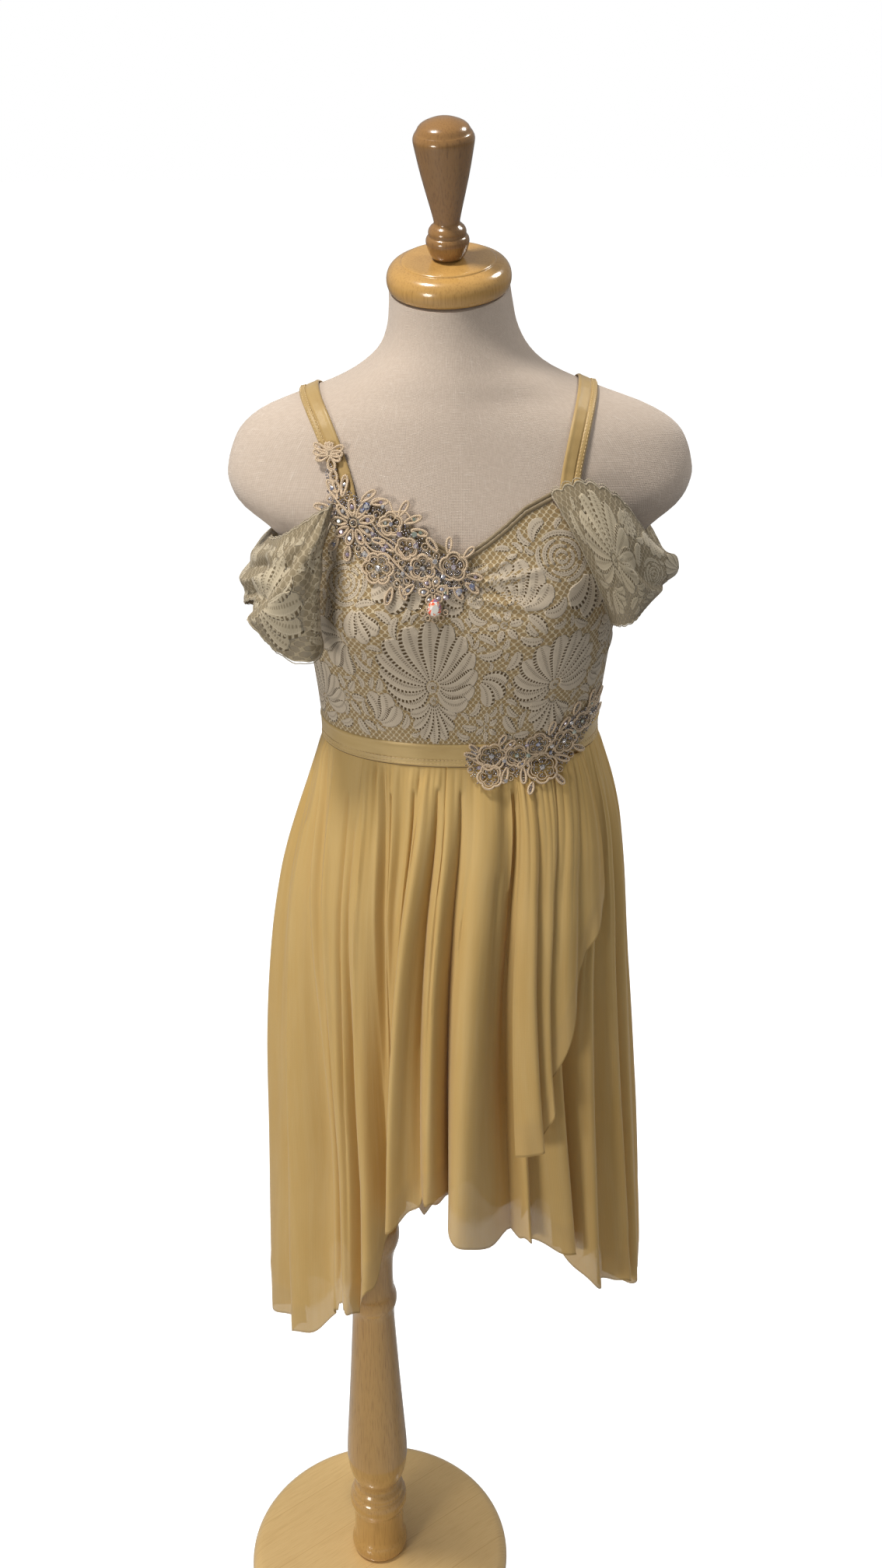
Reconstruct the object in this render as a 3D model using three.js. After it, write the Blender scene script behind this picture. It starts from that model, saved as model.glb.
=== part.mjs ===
// A lyrical dance dress on a limbless dress form, in millimetres, +Z up.
// The origin is the centre of the round foot's underside. The dress faces -Y, and
// "left" and "right" are as seen from the front, so left is -X.
import * as THREE from 'three';

// Driving sizes
const SEAM = 0.3;            // gap between neighbouring pieces
const EASE = 2;              // clear air between the form and the cloth on it
const CLOTH = 1.2;           // thickness of a cloth wall
const BAND = 2.2;            // thickness of the folded waistband
const BINDING = 2;           // thickness and height of the neckline's finished edge
const BINDING_HEIGHT = 6.5;
const ON_FORM = EASE - 0.4;             // straps on the shoulder
const ON_BODICE = EASE + CLOTH + 1.1;   // strap ends, over the bodice
const ON_CLOTH = EASE + 4;              // neckline applique, over bodice and strap
const ON_BAND = EASE + 3.1;             // waist applique
const APPLIQUE = 1.4;                   // thickness of the corded lace
const BASE_RADIUS = 140;
const BASE_HEIGHT = 25;
const TORSO_X = 88;          // the torso stands to the right of the post
const TORSO_BOTTOM = 745;
const NECK_TOP = 1352.5;
const NECK_Y = -5.5;         // the middle of the neck is this far in front of the post
const CAP_TILT = 15.5;       // degrees, the neck's end slopes down to the front
const CAP_LEAN = 2.1;        // degrees, and a little to the left
const WAIST_TOP = 1012.5;
const WAIST_BOTTOM = 992.5;
const SIDE_SEAM = 92;        // degrees round from the front
const BODICE_RADIUS = 120;   // at the side seams, turns their gap into an angle

// Angles run round the body from the front: 0 is the front, 90 the right side, 180 the back.
const RAD = Math.PI / 180;

// Cross sections of the torso: half width, depth to the front and to the back of the
// middle line, and the exponent that squares the oval (2 is an ellipse).
const TORSO_RINGS = [
  { z: 745, x: 0, half: 108, front: 74, back: 82, square: 2.2 },
  { z: 750, x: 0, half: 119, front: 85, back: 93, square: 2.2 },
  { z: 768, x: 0, half: 126, front: 91, back: 100, square: 2.2 },
  { z: 805, x: 0, half: 129, front: 94, back: 103, square: 2.2 },
  { z: 850, x: 0, half: 128.5, front: 93, back: 102, square: 2.2 },
  { z: 900, x: 0, half: 125, front: 90, back: 97, square: 2.2 },
  { z: 945, x: 0, half: 118.5, front: 86, back: 88, square: 2.2 },
  { z: 980, x: 0, half: 113.8, front: 83, back: 81, square: 2.2 },
  { z: 1003, x: 0, half: 113.2, front: 82, back: 78, square: 2.2 },
  { z: 1030, x: 0, half: 115.5, front: 85, back: 79, square: 2.25 },
  { z: 1060, x: 0, half: 119, front: 89, back: 83, square: 2.3 },
  { z: 1086, x: 0, half: 122.3, front: 94, back: 87, square: 2.35 },
  { z: 1112, x: 0, half: 125.5, front: 97, back: 90, square: 2.4 },
  { z: 1140, x: 0, half: 131, front: 96, back: 92, square: 2.4 },
  { z: 1160, x: 0, half: 139, front: 93.5, back: 91, square: 2.35 },
  { z: 1176, x: 0, half: 156, front: 90.5, back: 89, square: 2.25 },
  { z: 1190, x: 0, half: 174, front: 87.5, back: 86.5, square: 2.15 },
  { z: 1203, x: 0, half: 182, front: 84, back: 83.5, square: 2.1 },
  { z: 1217, x: 0, half: 184, front: 80, back: 80, square: 2 },
  { z: 1240, x: 0, half: 177, front: 73.5, back: 73, square: 1.85 },
  { z: 1253, x: -1, half: 167, front: 70, back: 68.5, square: 1.75 },
  { z: 1265, x: -3, half: 148, front: 66.5, back: 64, square: 1.65 },
  { z: 1276, x: -4, half: 119, front: 63, back: 59, square: 1.6 },
  { z: 1287, x: -4, half: 90, front: 60, back: 54, square: 1.75 },
  { z: 1297, x: -5, half: 71, front: 57, back: 49, square: 1.85 },
  { z: 1309, x: -5, half: 57.5, front: 54.5, back: 44.5, square: 1.95 },
  { z: 1324, x: -6, half: 50, front: 52.5, back: 41, square: 2 },
  { z: 1340, x: -7, half: 47.2, front: 51.5, back: 40.5, square: 2 },
  { z: 1352.5, x: -8, half: 46, front: 51.5, back: 40.5, square: 2 },
];

const ARMPIT = { from: 1135, to: 1230 };   // where the torso widens fast and needs more rings
const NECK_ROOT = 1290;                    // the neck's slope grows from here up

// The two bust mounds: place, size and how far they stand out of the sections above.
const BUST = { angle: 33, z: 1114, spread: 20, above: 46, below: 38, out: 14 };

// Upper edge of the dress: back, left armhole, the V between its two peaks, right armhole.
const UPPER_EDGE = [
  { angle: -180, z: 1112 },
  { angle: -160, z: 1122 },
  { angle: -146, z: 1143 },
  { angle: -139, z: 1142 },
  { angle: -128, z: 1120 },
  { angle: -112, z: 1102 },
  { angle: -92, z: 1096 },
  { angle: -80, z: 1100 },
  { angle: -70, z: 1118 },
  { angle: -62, z: 1142 },
  { angle: -56, z: 1168 },
  { angle: -50, z: 1205 },
  { angle: -36, z: 1196 },
  { angle: -24, z: 1184 },
  { angle: -12, z: 1172 },
  { angle: -4, z: 1165 },
  { angle: 0, z: 1163 },
  { angle: 4, z: 1165.5 },
  { angle: 12, z: 1174 },
  { angle: 21, z: 1185 },
  { angle: 30, z: 1197 },
  { angle: 41, z: 1206 },
  { angle: 50.5, z: 1169 },
  { angle: 57, z: 1152 },
  { angle: 63, z: 1130 },
  { angle: 69, z: 1107 },
  { angle: 80, z: 1098 },
  { angle: 92, z: 1096 },
  { angle: 112, z: 1102 },
  { angle: 128, z: 1120 },
  { angle: 139, z: 1142 },
  { angle: 146, z: 1143 },
  { angle: 160, z: 1122 },
  { angle: 180, z: 1112 },
];
const BINDING_FROM = -43;    // degrees, where the front binding goes in under the applique
const BINDING_TO = 41;       // and where it ends, at the right peak

// Mean section of the hanging skirt.
const SKIRT_RINGS = [
  { z: 330, x: -2, half: 170, front: 148, back: 156, square: 2.05 },
  { z: 438, x: -3.5, half: 168.5, front: 145, back: 152, square: 2.05 },
  { z: 588, x: -6, half: 160.5, front: 136, back: 145, square: 2.05 },
  { z: 693, x: -8.5, half: 154.5, front: 128, back: 137, square: 2.1 },
  { z: 792, x: -8.5, half: 147.5, front: 118, back: 127, square: 2.15 },
  { z: 855, x: -6, half: 142, front: 111, back: 118, square: 2.2 },
  { z: 886, x: -4, half: 138, front: 106, back: 112, square: 2.2 },
  { z: 916, x: -1.5, half: 133, front: 101.5, back: 106, square: 2.2 },
  { z: 946, x: 0, half: 126.5, front: 96, back: 98, square: 2.2 },
  { z: 975, x: 0, half: 119.5, front: 89.5, back: 88, square: 2.2 },
  { z: 993, x: 0, half: 115.3, front: 84.2, back: 81.4, square: 2.2 },
];

// Height of the hem round the skirt: short in front, long at the sides and back, with a
// step where one fold ends in front of the next.
const HEM = [
  { angle: -180, z: 372 },
  { angle: -165, z: 362 },
  { angle: -150, z: 346 },
  { angle: -120, z: 330 },
  { angle: -100, z: 333 },
  { angle: -88, z: 345 },
  { angle: -76, z: 372 },
  { angle: -66, z: 390 },
  { angle: -58, z: 404 },
  { angle: -54, z: 425 },
  { angle: -50, z: 446 },
  { angle: -46, z: 452 },
  { angle: -41.5, z: 450 },
  { angle: -39.5, z: 464 },
  { angle: -35, z: 484 },
  { angle: -32.5, z: 496 },
  { angle: -30.5, z: 536 },
  { angle: -26, z: 556 },
  { angle: -22, z: 570 },
  { angle: -18, z: 578 },
  { angle: -12, z: 600 },
  { angle: -7, z: 611 },
  { angle: -2, z: 600 },
  { angle: 3, z: 584 },
  { angle: 10, z: 571 },
  { angle: 17, z: 560 },
  { angle: 23, z: 556 },
  { angle: 29, z: 548 },
  { angle: 35, z: 526 },
  { angle: 40, z: 524 },
  { angle: 44, z: 515 },
  { angle: 50, z: 490 },
  { angle: 60, z: 462 },
  { angle: 70, z: 452 },
  { angle: 84, z: 420 },
  { angle: 95, z: 385 },
  { angle: 115, z: 365 },
  { angle: 140, z: 370 },
  { angle: 180, z: 372 },
];

// Skirt folds, left side first. waist and hem are the angles of the valley at the fold's
// left; rise and sink are how far its crest and that valley end up from the mean section;
// lean tips the crest over the valley to its left (minus) or right (plus).
const FOLDS = [
  { name: 'left side', waist: -97, hem: -100, rise: 20, sink: 14, lean: -0.6 },
  { name: 'left tail', waist: -84, hem: -76, rise: 5, sink: 13, lean: -0.2 },
  { name: 'left gap', waist: -76, hem: -54, rise: -14, sink: 17, lean: 0 },
  { name: 'narrow pipe', waist: -70, hem: -48, rise: -3, sink: 14, lean: 0.3 },
  { name: 'inner pipe', waist: -52, hem: -41, rise: -1, sink: 17, lean: 0.2 },
  { name: 'deep valley', waist: -43, hem: -29.5, rise: -20, sink: 22, lean: 0 },
  { name: 'hidden pleat', waist: -36, hem: -26, rise: -12, sink: 24, lean: 0 },
  { name: 'front left', waist: -24, hem: -22.5, rise: 25, sink: 24, lean: -0.8 },
  { name: 'front left soft', waist: -12, hem: -12, rise: 22, sink: -8, lean: -0.3 },
  { name: 'centre', waist: 0, hem: -1.5, rise: 29, sink: 10, lean: -0.8 },
  { name: 'under overlay', waist: 27, hem: 23, rise: 8, sink: 13, lean: 0 },
  { name: 'front edge', waist: 36, hem: 29, rise: 12, sink: 6, lean: 1 },
  { name: 'right gap', waist: 50, hem: 41.5, rise: -8, sink: 18, lean: 0 },
  { name: 'right tail', waist: 58, hem: 46, rise: 15, sink: 18, lean: -0.4 },
  { name: 'right tail soft', waist: 68, hem: 58, rise: 17, sink: 3, lean: 0.5 },
  { name: 'right side', waist: 77, hem: 68, rise: 19, sink: 16, lean: -0.6 },
  { name: 'right side soft', waist: 88, hem: 84, rise: 17, sink: 8, lean: 0.4 },
  { name: 'back 1', waist: 100, hem: 101, rise: 21, sink: 14, lean: 0.8 },
  { name: 'back 2', waist: 114, hem: 117, rise: 16, sink: 18, lean: -0.5 },
  { name: 'back 3', waist: 130, hem: 131, rise: 24, sink: 12, lean: 0.9 },
  { name: 'back 4', waist: 147, hem: 149, rise: 19, sink: 20, lean: -0.4 },
  { name: 'back 5', waist: 163, hem: 162, rise: 25, sink: 15, lean: 0.6 },
  { name: 'back 6', waist: 179, hem: 180, rise: 18, sink: 20, lean: -0.9 },
  { name: 'back 7', waist: 195, hem: 194, rise: 23, sink: 13, lean: -0.5 },
  { name: 'back 8', waist: 211, hem: 212, rise: 17, sink: 19, lean: 0.4 },
  { name: 'back 9', waist: 228, hem: 226, rise: 24, sink: 14, lean: -0.9 },
  { name: 'back 10', waist: 246, hem: 243, rise: 18, sink: 17, lean: -0.5 },
];
const FRONT_FOLDS = 17;      // the folds of the front panel, the rest belong to the back
const COLUMNS_PER_FOLD = 4;
const RISE_LENGTH = 180;     // how soon below the waist the crests stand out
const SINK_FROM = 60;        // and between which drops the valleys fall in
const SINK_TO = 420;
const CREST_SHARPNESS = 1.4; // 1 is a plain arch, more makes a narrower crest
const SKIRT_TOP = WAIST_BOTTOM - 2 * SEAM;
const SKIRT_SEAM = 0.01;     // half the gap between the skirt panels, in folds
const SKIRT_FLARE = 0.4;     // the waist applique stands out this much per mm below SKIRT_FLARE_TOP
const SKIRT_FLARE_TOP = WAIST_BOTTOM + 6;

// Overlay folds: as above, with the drop of the panel's free edge below the waist.
const OVERLAY_FOLDS = [
  { name: 'first', waist: 27, low: 21, rise: 11, sink: 0, lean: 0.9, drop: 341 },
  { name: 'second', waist: 36, low: 29, rise: 8, sink: 1, lean: 0.8, drop: 329 },
  { name: 'cascade', waist: 46, low: 34, rise: 9, sink: 1, lean: 0.3, drop: 276 },
  { name: 'corner', waist: 56, low: 47, rise: 6, sink: 0, lean: 0, drop: 182 },
  { name: 'end', waist: 63, low: 61, rise: 0, sink: 0, lean: 0, drop: 126 },
];
const OVERLAY_CLEAR = 2.4;   // between the skirt's crests and the overlay
const OVERLAY_LIFT = 13;     // height of those crests at the hem

// Sleeve drapes: rows run from the front seam round the outside to the back seam. Each
// has a point at the top edge, at the belly and at the lower edge, from the torso's middle.
const LEFT_DRAPE = [
  { name: 'front seam', top: [-97, -77, 1203], belly: [-108, -78, 1166], low: [-122, -49, 1119] },
  { name: 'front lobe', top: [-113, -84, 1194], belly: [-128, -95, 1139], low: [-127, -79, 1084] },
  { name: 'lobe edge', top: [-134, -80, 1180], belly: [-150, -84, 1141], low: [-149, -80, 1106] },
  { name: 'inner fold', top: [-144, -58, 1172], belly: [-152, -60, 1139], low: [-149, -56, 1112] },
  { name: 'outer lobe', top: [-150, -36, 1167], belly: [-171, -32, 1129], low: [-158, -34, 1102] },
  { name: 'side', top: [-156, 4, 1157], belly: [-172, 6, 1128], low: [-162, 6, 1098] },
  { name: 'back lobe', top: [-150, 50, 1160], belly: [-160, 58, 1132], low: [-148, 58, 1100] },
  { name: 'back', top: [-128, 77, 1162], belly: [-137, 80, 1132], low: [-131, 74, 1102] },
  { name: 'back seam', top: [-102, 72, 1144], belly: [-108, 63, 1125], low: [-113, 52, 1106] },
];
const RIGHT_DRAPE = [
  { name: 'front seam', top: [68, -84, 1212], belly: [97, -83, 1160], low: [119, -52, 1104] },
  { name: 'front', top: [90, -87, 1220], belly: [116, -90, 1163], low: [129, -70, 1113] },
  { name: 'ruffle', top: [116, -81, 1206], belly: [134, -85, 1154], low: [138, -69, 1122] },
  { name: 'wing', top: [143, -58, 1171], belly: [154, -58, 1149], low: [152, -50, 1130] },
  { name: 'tip', top: [160, -26, 1150], belly: [171, -22, 1140], low: [161, -22, 1129] },
  { name: 'side', top: [156, 12, 1152], belly: [168, 14, 1134], low: [159, 14, 1115] },
  { name: 'back lobe', top: [150, 52, 1168], belly: [160, 58, 1134], low: [148, 58, 1104] },
  { name: 'back', top: [128, 77, 1162], belly: [137, 80, 1132], low: [131, 74, 1102] },
  { name: 'back seam', top: [102, 72, 1144], belly: [108, 63, 1125], low: [113, 52, 1106] },
];

// Straps: distance from the torso's middle at the front foot, on the shoulder, at the back.
const STRAP_WIDTH = 15;
const STRAP_PIVOT = 1180;    // height of the point that the strap is wrapped round
const LEFT_STRAP = { front: -85, top: -117, back: -82 };
const RIGHT_STRAP = { front: 80, top: 99, back: 82 };
const STRAP_FRONT_ANGLE = 14;   // degrees above level, seen from the pivot
const STRAP_BACK_ANGLE = 205;
const STRAP_FOOT = 20;       // degrees over which a strap's end steps up on to the bodice
const STRAP_CURVE = 3;       // how late the strap bends outward as it climbs

// Appliques: rows along the spine, from the torso's middle, with half the width across it.
const NECK_APPLIQUE = [
  { name: 'flower tip', x: -102, z: 1243, reach: 9 },
  { name: 'flower on the strap', x: -99, z: 1236, reach: 15 },
  { name: 'stem', x: -96, z: 1226, reach: 7 },
  { name: 'narrow', x: -93, z: 1217, reach: 8 },
  { name: 'upper body', x: -84, z: 1203, reach: 12 },
  { name: 'middle', x: -67, z: 1184, reach: 21 },
  { name: 'lower body', x: -44, z: 1169, reach: 23 },
  { name: 'lower end', x: -20, z: 1157, reach: 18 },
  { name: 'right end', x: 0, z: 1150, reach: 8 },
];
const WAIST_APPLIQUE = [
  { name: 'left tips', x: 6, z: 1003, reach: 6 },
  { name: 'double flower', x: 24, z: 995, reach: 20 },
  { name: 'middle', x: 44, z: 1000, reach: 16 },
  { name: 'drop', x: 62, z: 999, reach: 22 },
  { name: 'upper', x: 82, z: 1010, reach: 18 },
  { name: 'leaf', x: 102, z: 1022, reach: 13 },
  { name: 'leaf tips', x: 117, z: 1034, reach: 5 },
];

// Crystal drop: its place on the bodice, radius and thickness
const DROP = { angle: -12, z: 1131, radius: 5.5, depth: 4.5 };

// Turned wood, as radius and height pairs from the bottom up.
const POST_FOOT = BASE_HEIGHT + SEAM;
const POST_TOP = TORSO_BOTTOM - SEAM;
const POST_PROFILE = [
  { r: 27.5, z: POST_FOOT },
  { r: 30, z: 32 },
  { r: 29.6, z: 40 },
  { r: 27, z: 46 },
  { r: 26.3, z: 56 },
  { r: 26.3, z: 84 },
  { r: 28.5, z: 88 },
  { r: 30.8, z: 96 },
  { r: 29.5, z: 105 },
  { r: 26.5, z: 108 },
  { r: 27, z: 114 },
  { r: 23, z: 118 },
  { r: 22.5, z: 124 },
  { r: 28.6, z: 137 },
  { r: 31.5, z: 155 },
  { r: 31.9, z: 170 },
  { r: 29.3, z: 211 },
  { r: 26, z: 263 },
  { r: 23.2, z: 313 },
  { r: 21, z: 352 },
  { r: 21.8, z: 361 },
  { r: 24.4, z: 369 },
  { r: 24, z: 378 },
  { r: 20.8, z: 386 },
  { r: 20.6, z: 416 },
  { r: 22.4, z: 432 },
  { r: 27.8, z: 446 },
  { r: 28.2, z: 458 },
  { r: 25, z: 468 },
  { r: 20, z: 476 },
  { r: 19, z: 500 },
  { r: 17.5, z: POST_TOP },
];
const BASE_PROFILE = [
  { r: BASE_RADIUS - 3, z: 0 },
  { r: BASE_RADIUS - 0.4, z: 3 },
  { r: BASE_RADIUS, z: 12 },
  { r: BASE_RADIUS - 1.6, z: 18 },
  { r: BASE_RADIUS - 6, z: 23 },
  { r: BASE_RADIUS - 12, z: BASE_HEIGHT },
];
const CAP_PROFILE = [
  { r: 44.5, z: 0 },
  { r: 46.8, z: 3.5 },
  { r: 47.5, z: 9 },
  { r: 46.2, z: 14.5 },
  { r: 42.5, z: 18.8 },
  { r: 36.8, z: 20.8 },
  { r: 36, z: 20.8 },
  { r: 35.4, z: 22.6 },
];
const CAP_HEIGHT = 22.6;
const FINIAL_PROFILE = [
  { r: 11.5, z: 0 },
  { r: 14.2, z: 4.5 },
  { r: 16.2, z: 10.5 },
  { r: 16.4, z: 14.2 },
  { r: 15.1, z: 16.5 },
  { r: 14, z: 17.1 },
  { r: 14.5, z: 20 },
  { r: 13, z: 23.2 },
  { r: 9.8, z: 25.5 },
  { r: 9.8, z: 28.5 },
  { r: 17.5, z: 59 },
  { r: 22, z: 82 },
  { r: 22.6, z: 86.5 },
  { r: 20.9, z: 90 },
  { r: 20.2, z: 90.6 },
  { r: 17.5, z: 95.5 },
  { r: 9.4, z: 99 },
];
const FINIAL_HEIGHT = 100;

// Colours and finishes
const linen = new THREE.MeshStandardMaterial({ color: 0xd8cfc6, roughness: 0.95 });
const wood = new THREE.MeshStandardMaterial({ color: 0xd9a75c, roughness: 0.35 });
const lace = new THREE.MeshStandardMaterial({ color: 0xb8a888, roughness: 0.9 });
const satin = new THREE.MeshStandardMaterial({ color: 0xd6b660, roughness: 0.45 });
const mesh = new THREE.MeshStandardMaterial({ color: 0xc9a75a, roughness: 0.75 });
const cord = new THREE.MeshStandardMaterial({ color: 0xcdb8a0, roughness: 0.6 });
const crystal = new THREE.MeshStandardMaterial({ color: 0xf0d0c0, roughness: 0.05 });

const object = new THREE.Group();

// Adds one named piece.
function piece(name, geometry, material, parent = object) {
  const node = new THREE.Mesh(geometry, material);
  node.name = name;
  parent.add(node);
  return node;
}

function mix(a, b, t) {
  return a + (b - a) * t;
}

// Smooth step from 0 to 1.
function ramp(t) {
  const c = Math.min(1, Math.max(0, t));
  return c * c * (3 - 2 * c);
}

// Straight-line reading of one column of a table that is sorted by key.
function straight(rows, key, column, at) {
  const last = rows.length - 1;
  let i = 0;
  while (i < last - 1 && rows[i + 1][key] < at) i += 1;
  const t = (at - rows[i][key]) / (rows[i + 1][key] - rows[i][key]);
  return mix(rows[i][column], rows[i + 1][column], Math.min(1, Math.max(0, t)));
}

// Smooth reading of the same: a cubic through the rows.
function smooth(rows, key, column, at) {
  const last = rows.length - 1;
  let i = 0;
  while (i < last - 1 && rows[i + 1][key] < at) i += 1;
  const before = rows[Math.max(0, i - 1)];
  const from = rows[i];
  const to = rows[i + 1];
  const after = rows[Math.min(last, i + 2)];
  const span = to[key] - from[key];
  const t = Math.min(1, Math.max(0, (at - from[key]) / span));
  const leave = (span * (to[column] - before[column])) / (to[key] - before[key]);
  const arrive = (span * (after[column] - from[column])) / (after[key] - from[key]);
  const t2 = t * t;
  const t3 = t2 * t;
  return (2 * t3 - 3 * t2 + 1) * from[column] + (t3 - 2 * t2 + t) * leave
    + (3 * t2 - 2 * t3) * to[column] + (t3 - t2) * arrive;
}

// Distance from the middle line to a squared oval, at one angle round it.
function ovalRadius(rows, angle, z) {
  const half = smooth(rows, 'z', 'half', z);
  const square = smooth(rows, 'z', 'square', z);
  const side = Math.sin(angle * RAD);
  const ahead = Math.cos(angle * RAD);
  const depth = smooth(rows, 'z', ahead > 0 ? 'front' : 'back', z);
  return (Math.abs(side / half) ** square + Math.abs(ahead / depth) ** square) ** (-1 / square);
}

function bust(angle, z) {
  const high = (z - BUST.z) / (z > BUST.z ? BUST.above : BUST.below);
  const left = (angle + BUST.angle) / BUST.spread;
  const right = (angle - BUST.angle) / BUST.spread;
  return BUST.out * Math.exp(-high * high) * (Math.exp(-left * left) + Math.exp(-right * right));
}

// Brings an angle into -180..180.
function wrap(angle) {
  return ((((angle + 180) % 360) + 360) % 360) - 180;
}

function around(rows, angle, z, out) {
  const r = ovalRadius(rows, angle, z) + out;
  const x = TORSO_X + smooth(rows, 'z', 'x', z) + r * Math.sin(angle * RAD);
  return new THREE.Vector3(x, -r * Math.cos(angle * RAD), z);
}

function torsoPoint(angle, z) {
  return around(TORSO_RINGS, angle, z, bust(wrap(angle), z));
}

// A point at some distance off the torso, square to its surface.
function offTorso(angle, z, distance) {
  const point = torsoPoint(angle, z);
  const turn = torsoPoint(angle + 1, z).sub(torsoPoint(angle - 1, z));
  const climb = torsoPoint(angle, z + 2).sub(torsoPoint(angle, z - 2));
  return point.addScaledVector(turn.cross(climb).normalize(), distance);
}

// Closed mesh from points and the quads and triangles that join them.
function solid(points, faces) {
  const geometry = new THREE.BufferGeometry();
  const positions = points.flatMap((p) => p.toArray());
  geometry.setAttribute('position', new THREE.Float32BufferAttribute(positions, 3));
  geometry.setIndex(faces.flatMap(([a, b, c, d]) => (d === undefined ? [a, b, c] : [a, b, c, a, c, d])));
  geometry.computeVertexNormals();
  return geometry;
}

// A wall of cloth. point(u, v) is its inner face, and the cloth thickens towards the side
// that (u direction) x (v direction) points to.
function wall(point, columns, rows, thickness, closed = false) {
  const across = closed ? columns : columns + 1;
  const stride = rows + 1;
  const inner = [];
  for (let i = 0; i < across; i += 1) {
    for (let j = 0; j <= rows; j += 1) inner.push(point(i / columns, j / rows));
  }
  const at = (i, j) => {
    const column = closed ? (i + columns) % columns : Math.min(columns, Math.max(0, i));
    return column * stride + Math.min(rows, Math.max(0, j));
  };
  const outer = inner.map((p, k) => {
    const i = Math.floor(k / stride);
    const j = k % stride;
    const turn = inner[at(i + 1, j)].clone().sub(inner[at(i - 1, j)]);
    const climb = inner[at(i, j + 1)].clone().sub(inner[at(i, j - 1)]);
    return p.clone().addScaledVector(turn.cross(climb).normalize(), thickness);
  });
  const size = inner.length;
  const faces = [];
  for (let i = 0; i < columns; i += 1) {
    for (let j = 0; j < rows; j += 1) {
      const quad = [at(i, j), at(i + 1, j), at(i + 1, j + 1), at(i, j + 1)];
      faces.push(quad.map((k) => k + size));
      faces.push([quad[0], quad[3], quad[2], quad[1]]);
    }
    faces.push([at(i, 0) + size, at(i, 0), at(i + 1, 0), at(i + 1, 0) + size]);
    faces.push([at(i + 1, rows) + size, at(i + 1, rows), at(i, rows), at(i, rows) + size]);
  }
  if (!closed) {
    for (let j = 0; j < rows; j += 1) {
      faces.push([at(0, j) + size, at(0, j + 1) + size, at(0, j + 1), at(0, j)]);
      faces.push([at(columns, j + 1) + size, at(columns, j) + size, at(columns, j), at(columns, j + 1)]);
    }
  }
  return solid([...inner, ...outer], faces);
}

// Turned wood: the profile spun about a standing axis.
function turned(profile, top, sides) {
  const outline = [
    new THREE.Vector2(0, profile[0].z),
    ...profile.map((row) => new THREE.Vector2(row.r, row.z)),
    new THREE.Vector2(0, top),
  ];
  return new THREE.LatheGeometry(outline, sides).rotateX(Math.PI / 2);
}

// Dress form: foot and post
piece('base', turned(BASE_PROFILE, BASE_HEIGHT, 40), wood);
piece('post', turned(POST_PROFILE, POST_TOP, 24), wood);

// Dress form: torso, closed at the bottom and at the sloping end of the neck
function slope(point) {
  const share = ramp((point.z - NECK_ROOT) / (NECK_TOP - NECK_ROOT));
  const middle = TORSO_X + smooth(TORSO_RINGS, 'z', 'x', point.z);
  point.z += share * Math.tan(CAP_TILT * RAD) * (point.y - NECK_Y);
  point.z += share * Math.tan(CAP_LEAN * RAD) * (point.x - middle);
  return point;
}

function torso(sides) {
  const points = [];
  const faces = [];
  const levels = TORSO_RINGS.flatMap(({ z }, k) => {
    const halfway = (z + TORSO_RINGS[Math.max(0, k - 1)].z) / 2;
    return k > 0 && z > ARMPIT.from && z < ARMPIT.to ? [halfway, z] : [z];
  });
  for (const z of levels) {
    for (let i = 0; i < sides; i += 1) points.push(slope(torsoPoint((360 * i) / sides, z)));
  }
  const rings = levels.length;
  for (let j = 0; j < rings - 1; j += 1) {
    for (let i = 0; i < sides; i += 1) {
      const next = (i + 1) % sides;
      faces.push([j * sides + i, j * sides + next, (j + 1) * sides + next, (j + 1) * sides + i]);
    }
  }
  const bottom = points.push(new THREE.Vector3(TORSO_X, 0, TORSO_BOTTOM)) - 1;
  const crown = new THREE.Vector3(TORSO_X + TORSO_RINGS.at(-1).x, NECK_Y, NECK_TOP);
  const top = points.push(crown) - 1;
  for (let i = 0; i < sides; i += 1) {
    const next = (i + 1) % sides;
    faces.push([next, i, bottom]);
    faces.push([(rings - 1) * sides + i, (rings - 1) * sides + next, top]);
  }
  return solid(points, faces);
}
piece('torso', torso(40), linen);

// Dress form: cap and finial, square to the sloping end of the neck
const neckEnd = new THREE.Group();
neckEnd.position.set(TORSO_X + TORSO_RINGS.at(-1).x, NECK_Y, NECK_TOP);
neckEnd.rotation.set(CAP_TILT * RAD, -CAP_LEAN * RAD, 0);
object.add(neckEnd);
piece('neck_cap', turned(CAP_PROFILE, CAP_HEIGHT, 32), wood, neckEnd).position.z = SEAM;
const finial = piece('finial', turned(FINIAL_PROFILE, FINIAL_HEIGHT, 20), wood, neckEnd);
finial.position.z = CAP_HEIGHT + 2 * SEAM;

// Bodice: two panels between the waistband and the upper edge
function upperEdge(angle) {
  return straight(UPPER_EDGE, 'angle', 'z', wrap(angle));
}

function bodicePanel(from, to, columns, rows) {
  const gap = (SEAM / 2 / BODICE_RADIUS) / RAD;
  return wall((u, v) => {
    const angle = mix(from + gap, to - gap, u);
    const z = mix(WAIST_TOP + SEAM, upperEdge(angle), v);
    return offTorso(angle, z, EASE);
  }, columns, rows, CLOTH);
}
piece('bodice_front', bodicePanel(-SIDE_SEAM, SIDE_SEAM, 46, 8), lace);
piece('bodice_back', bodicePanel(SIDE_SEAM, 360 - SIDE_SEAM, 30, 5), lace);

// Neckline binding: a narrow strip that finishes the front edge between the peaks
function binding() {
  return wall((u, v) => {
    const angle = mix(BINDING_FROM, BINDING_TO, u);
    const z = upperEdge(angle) + SEAM + BINDING_HEIGHT * v;
    return offTorso(angle, z, EASE);
  }, 30, 1, BINDING);
}
piece('neckline_binding', binding(), satin);

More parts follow.
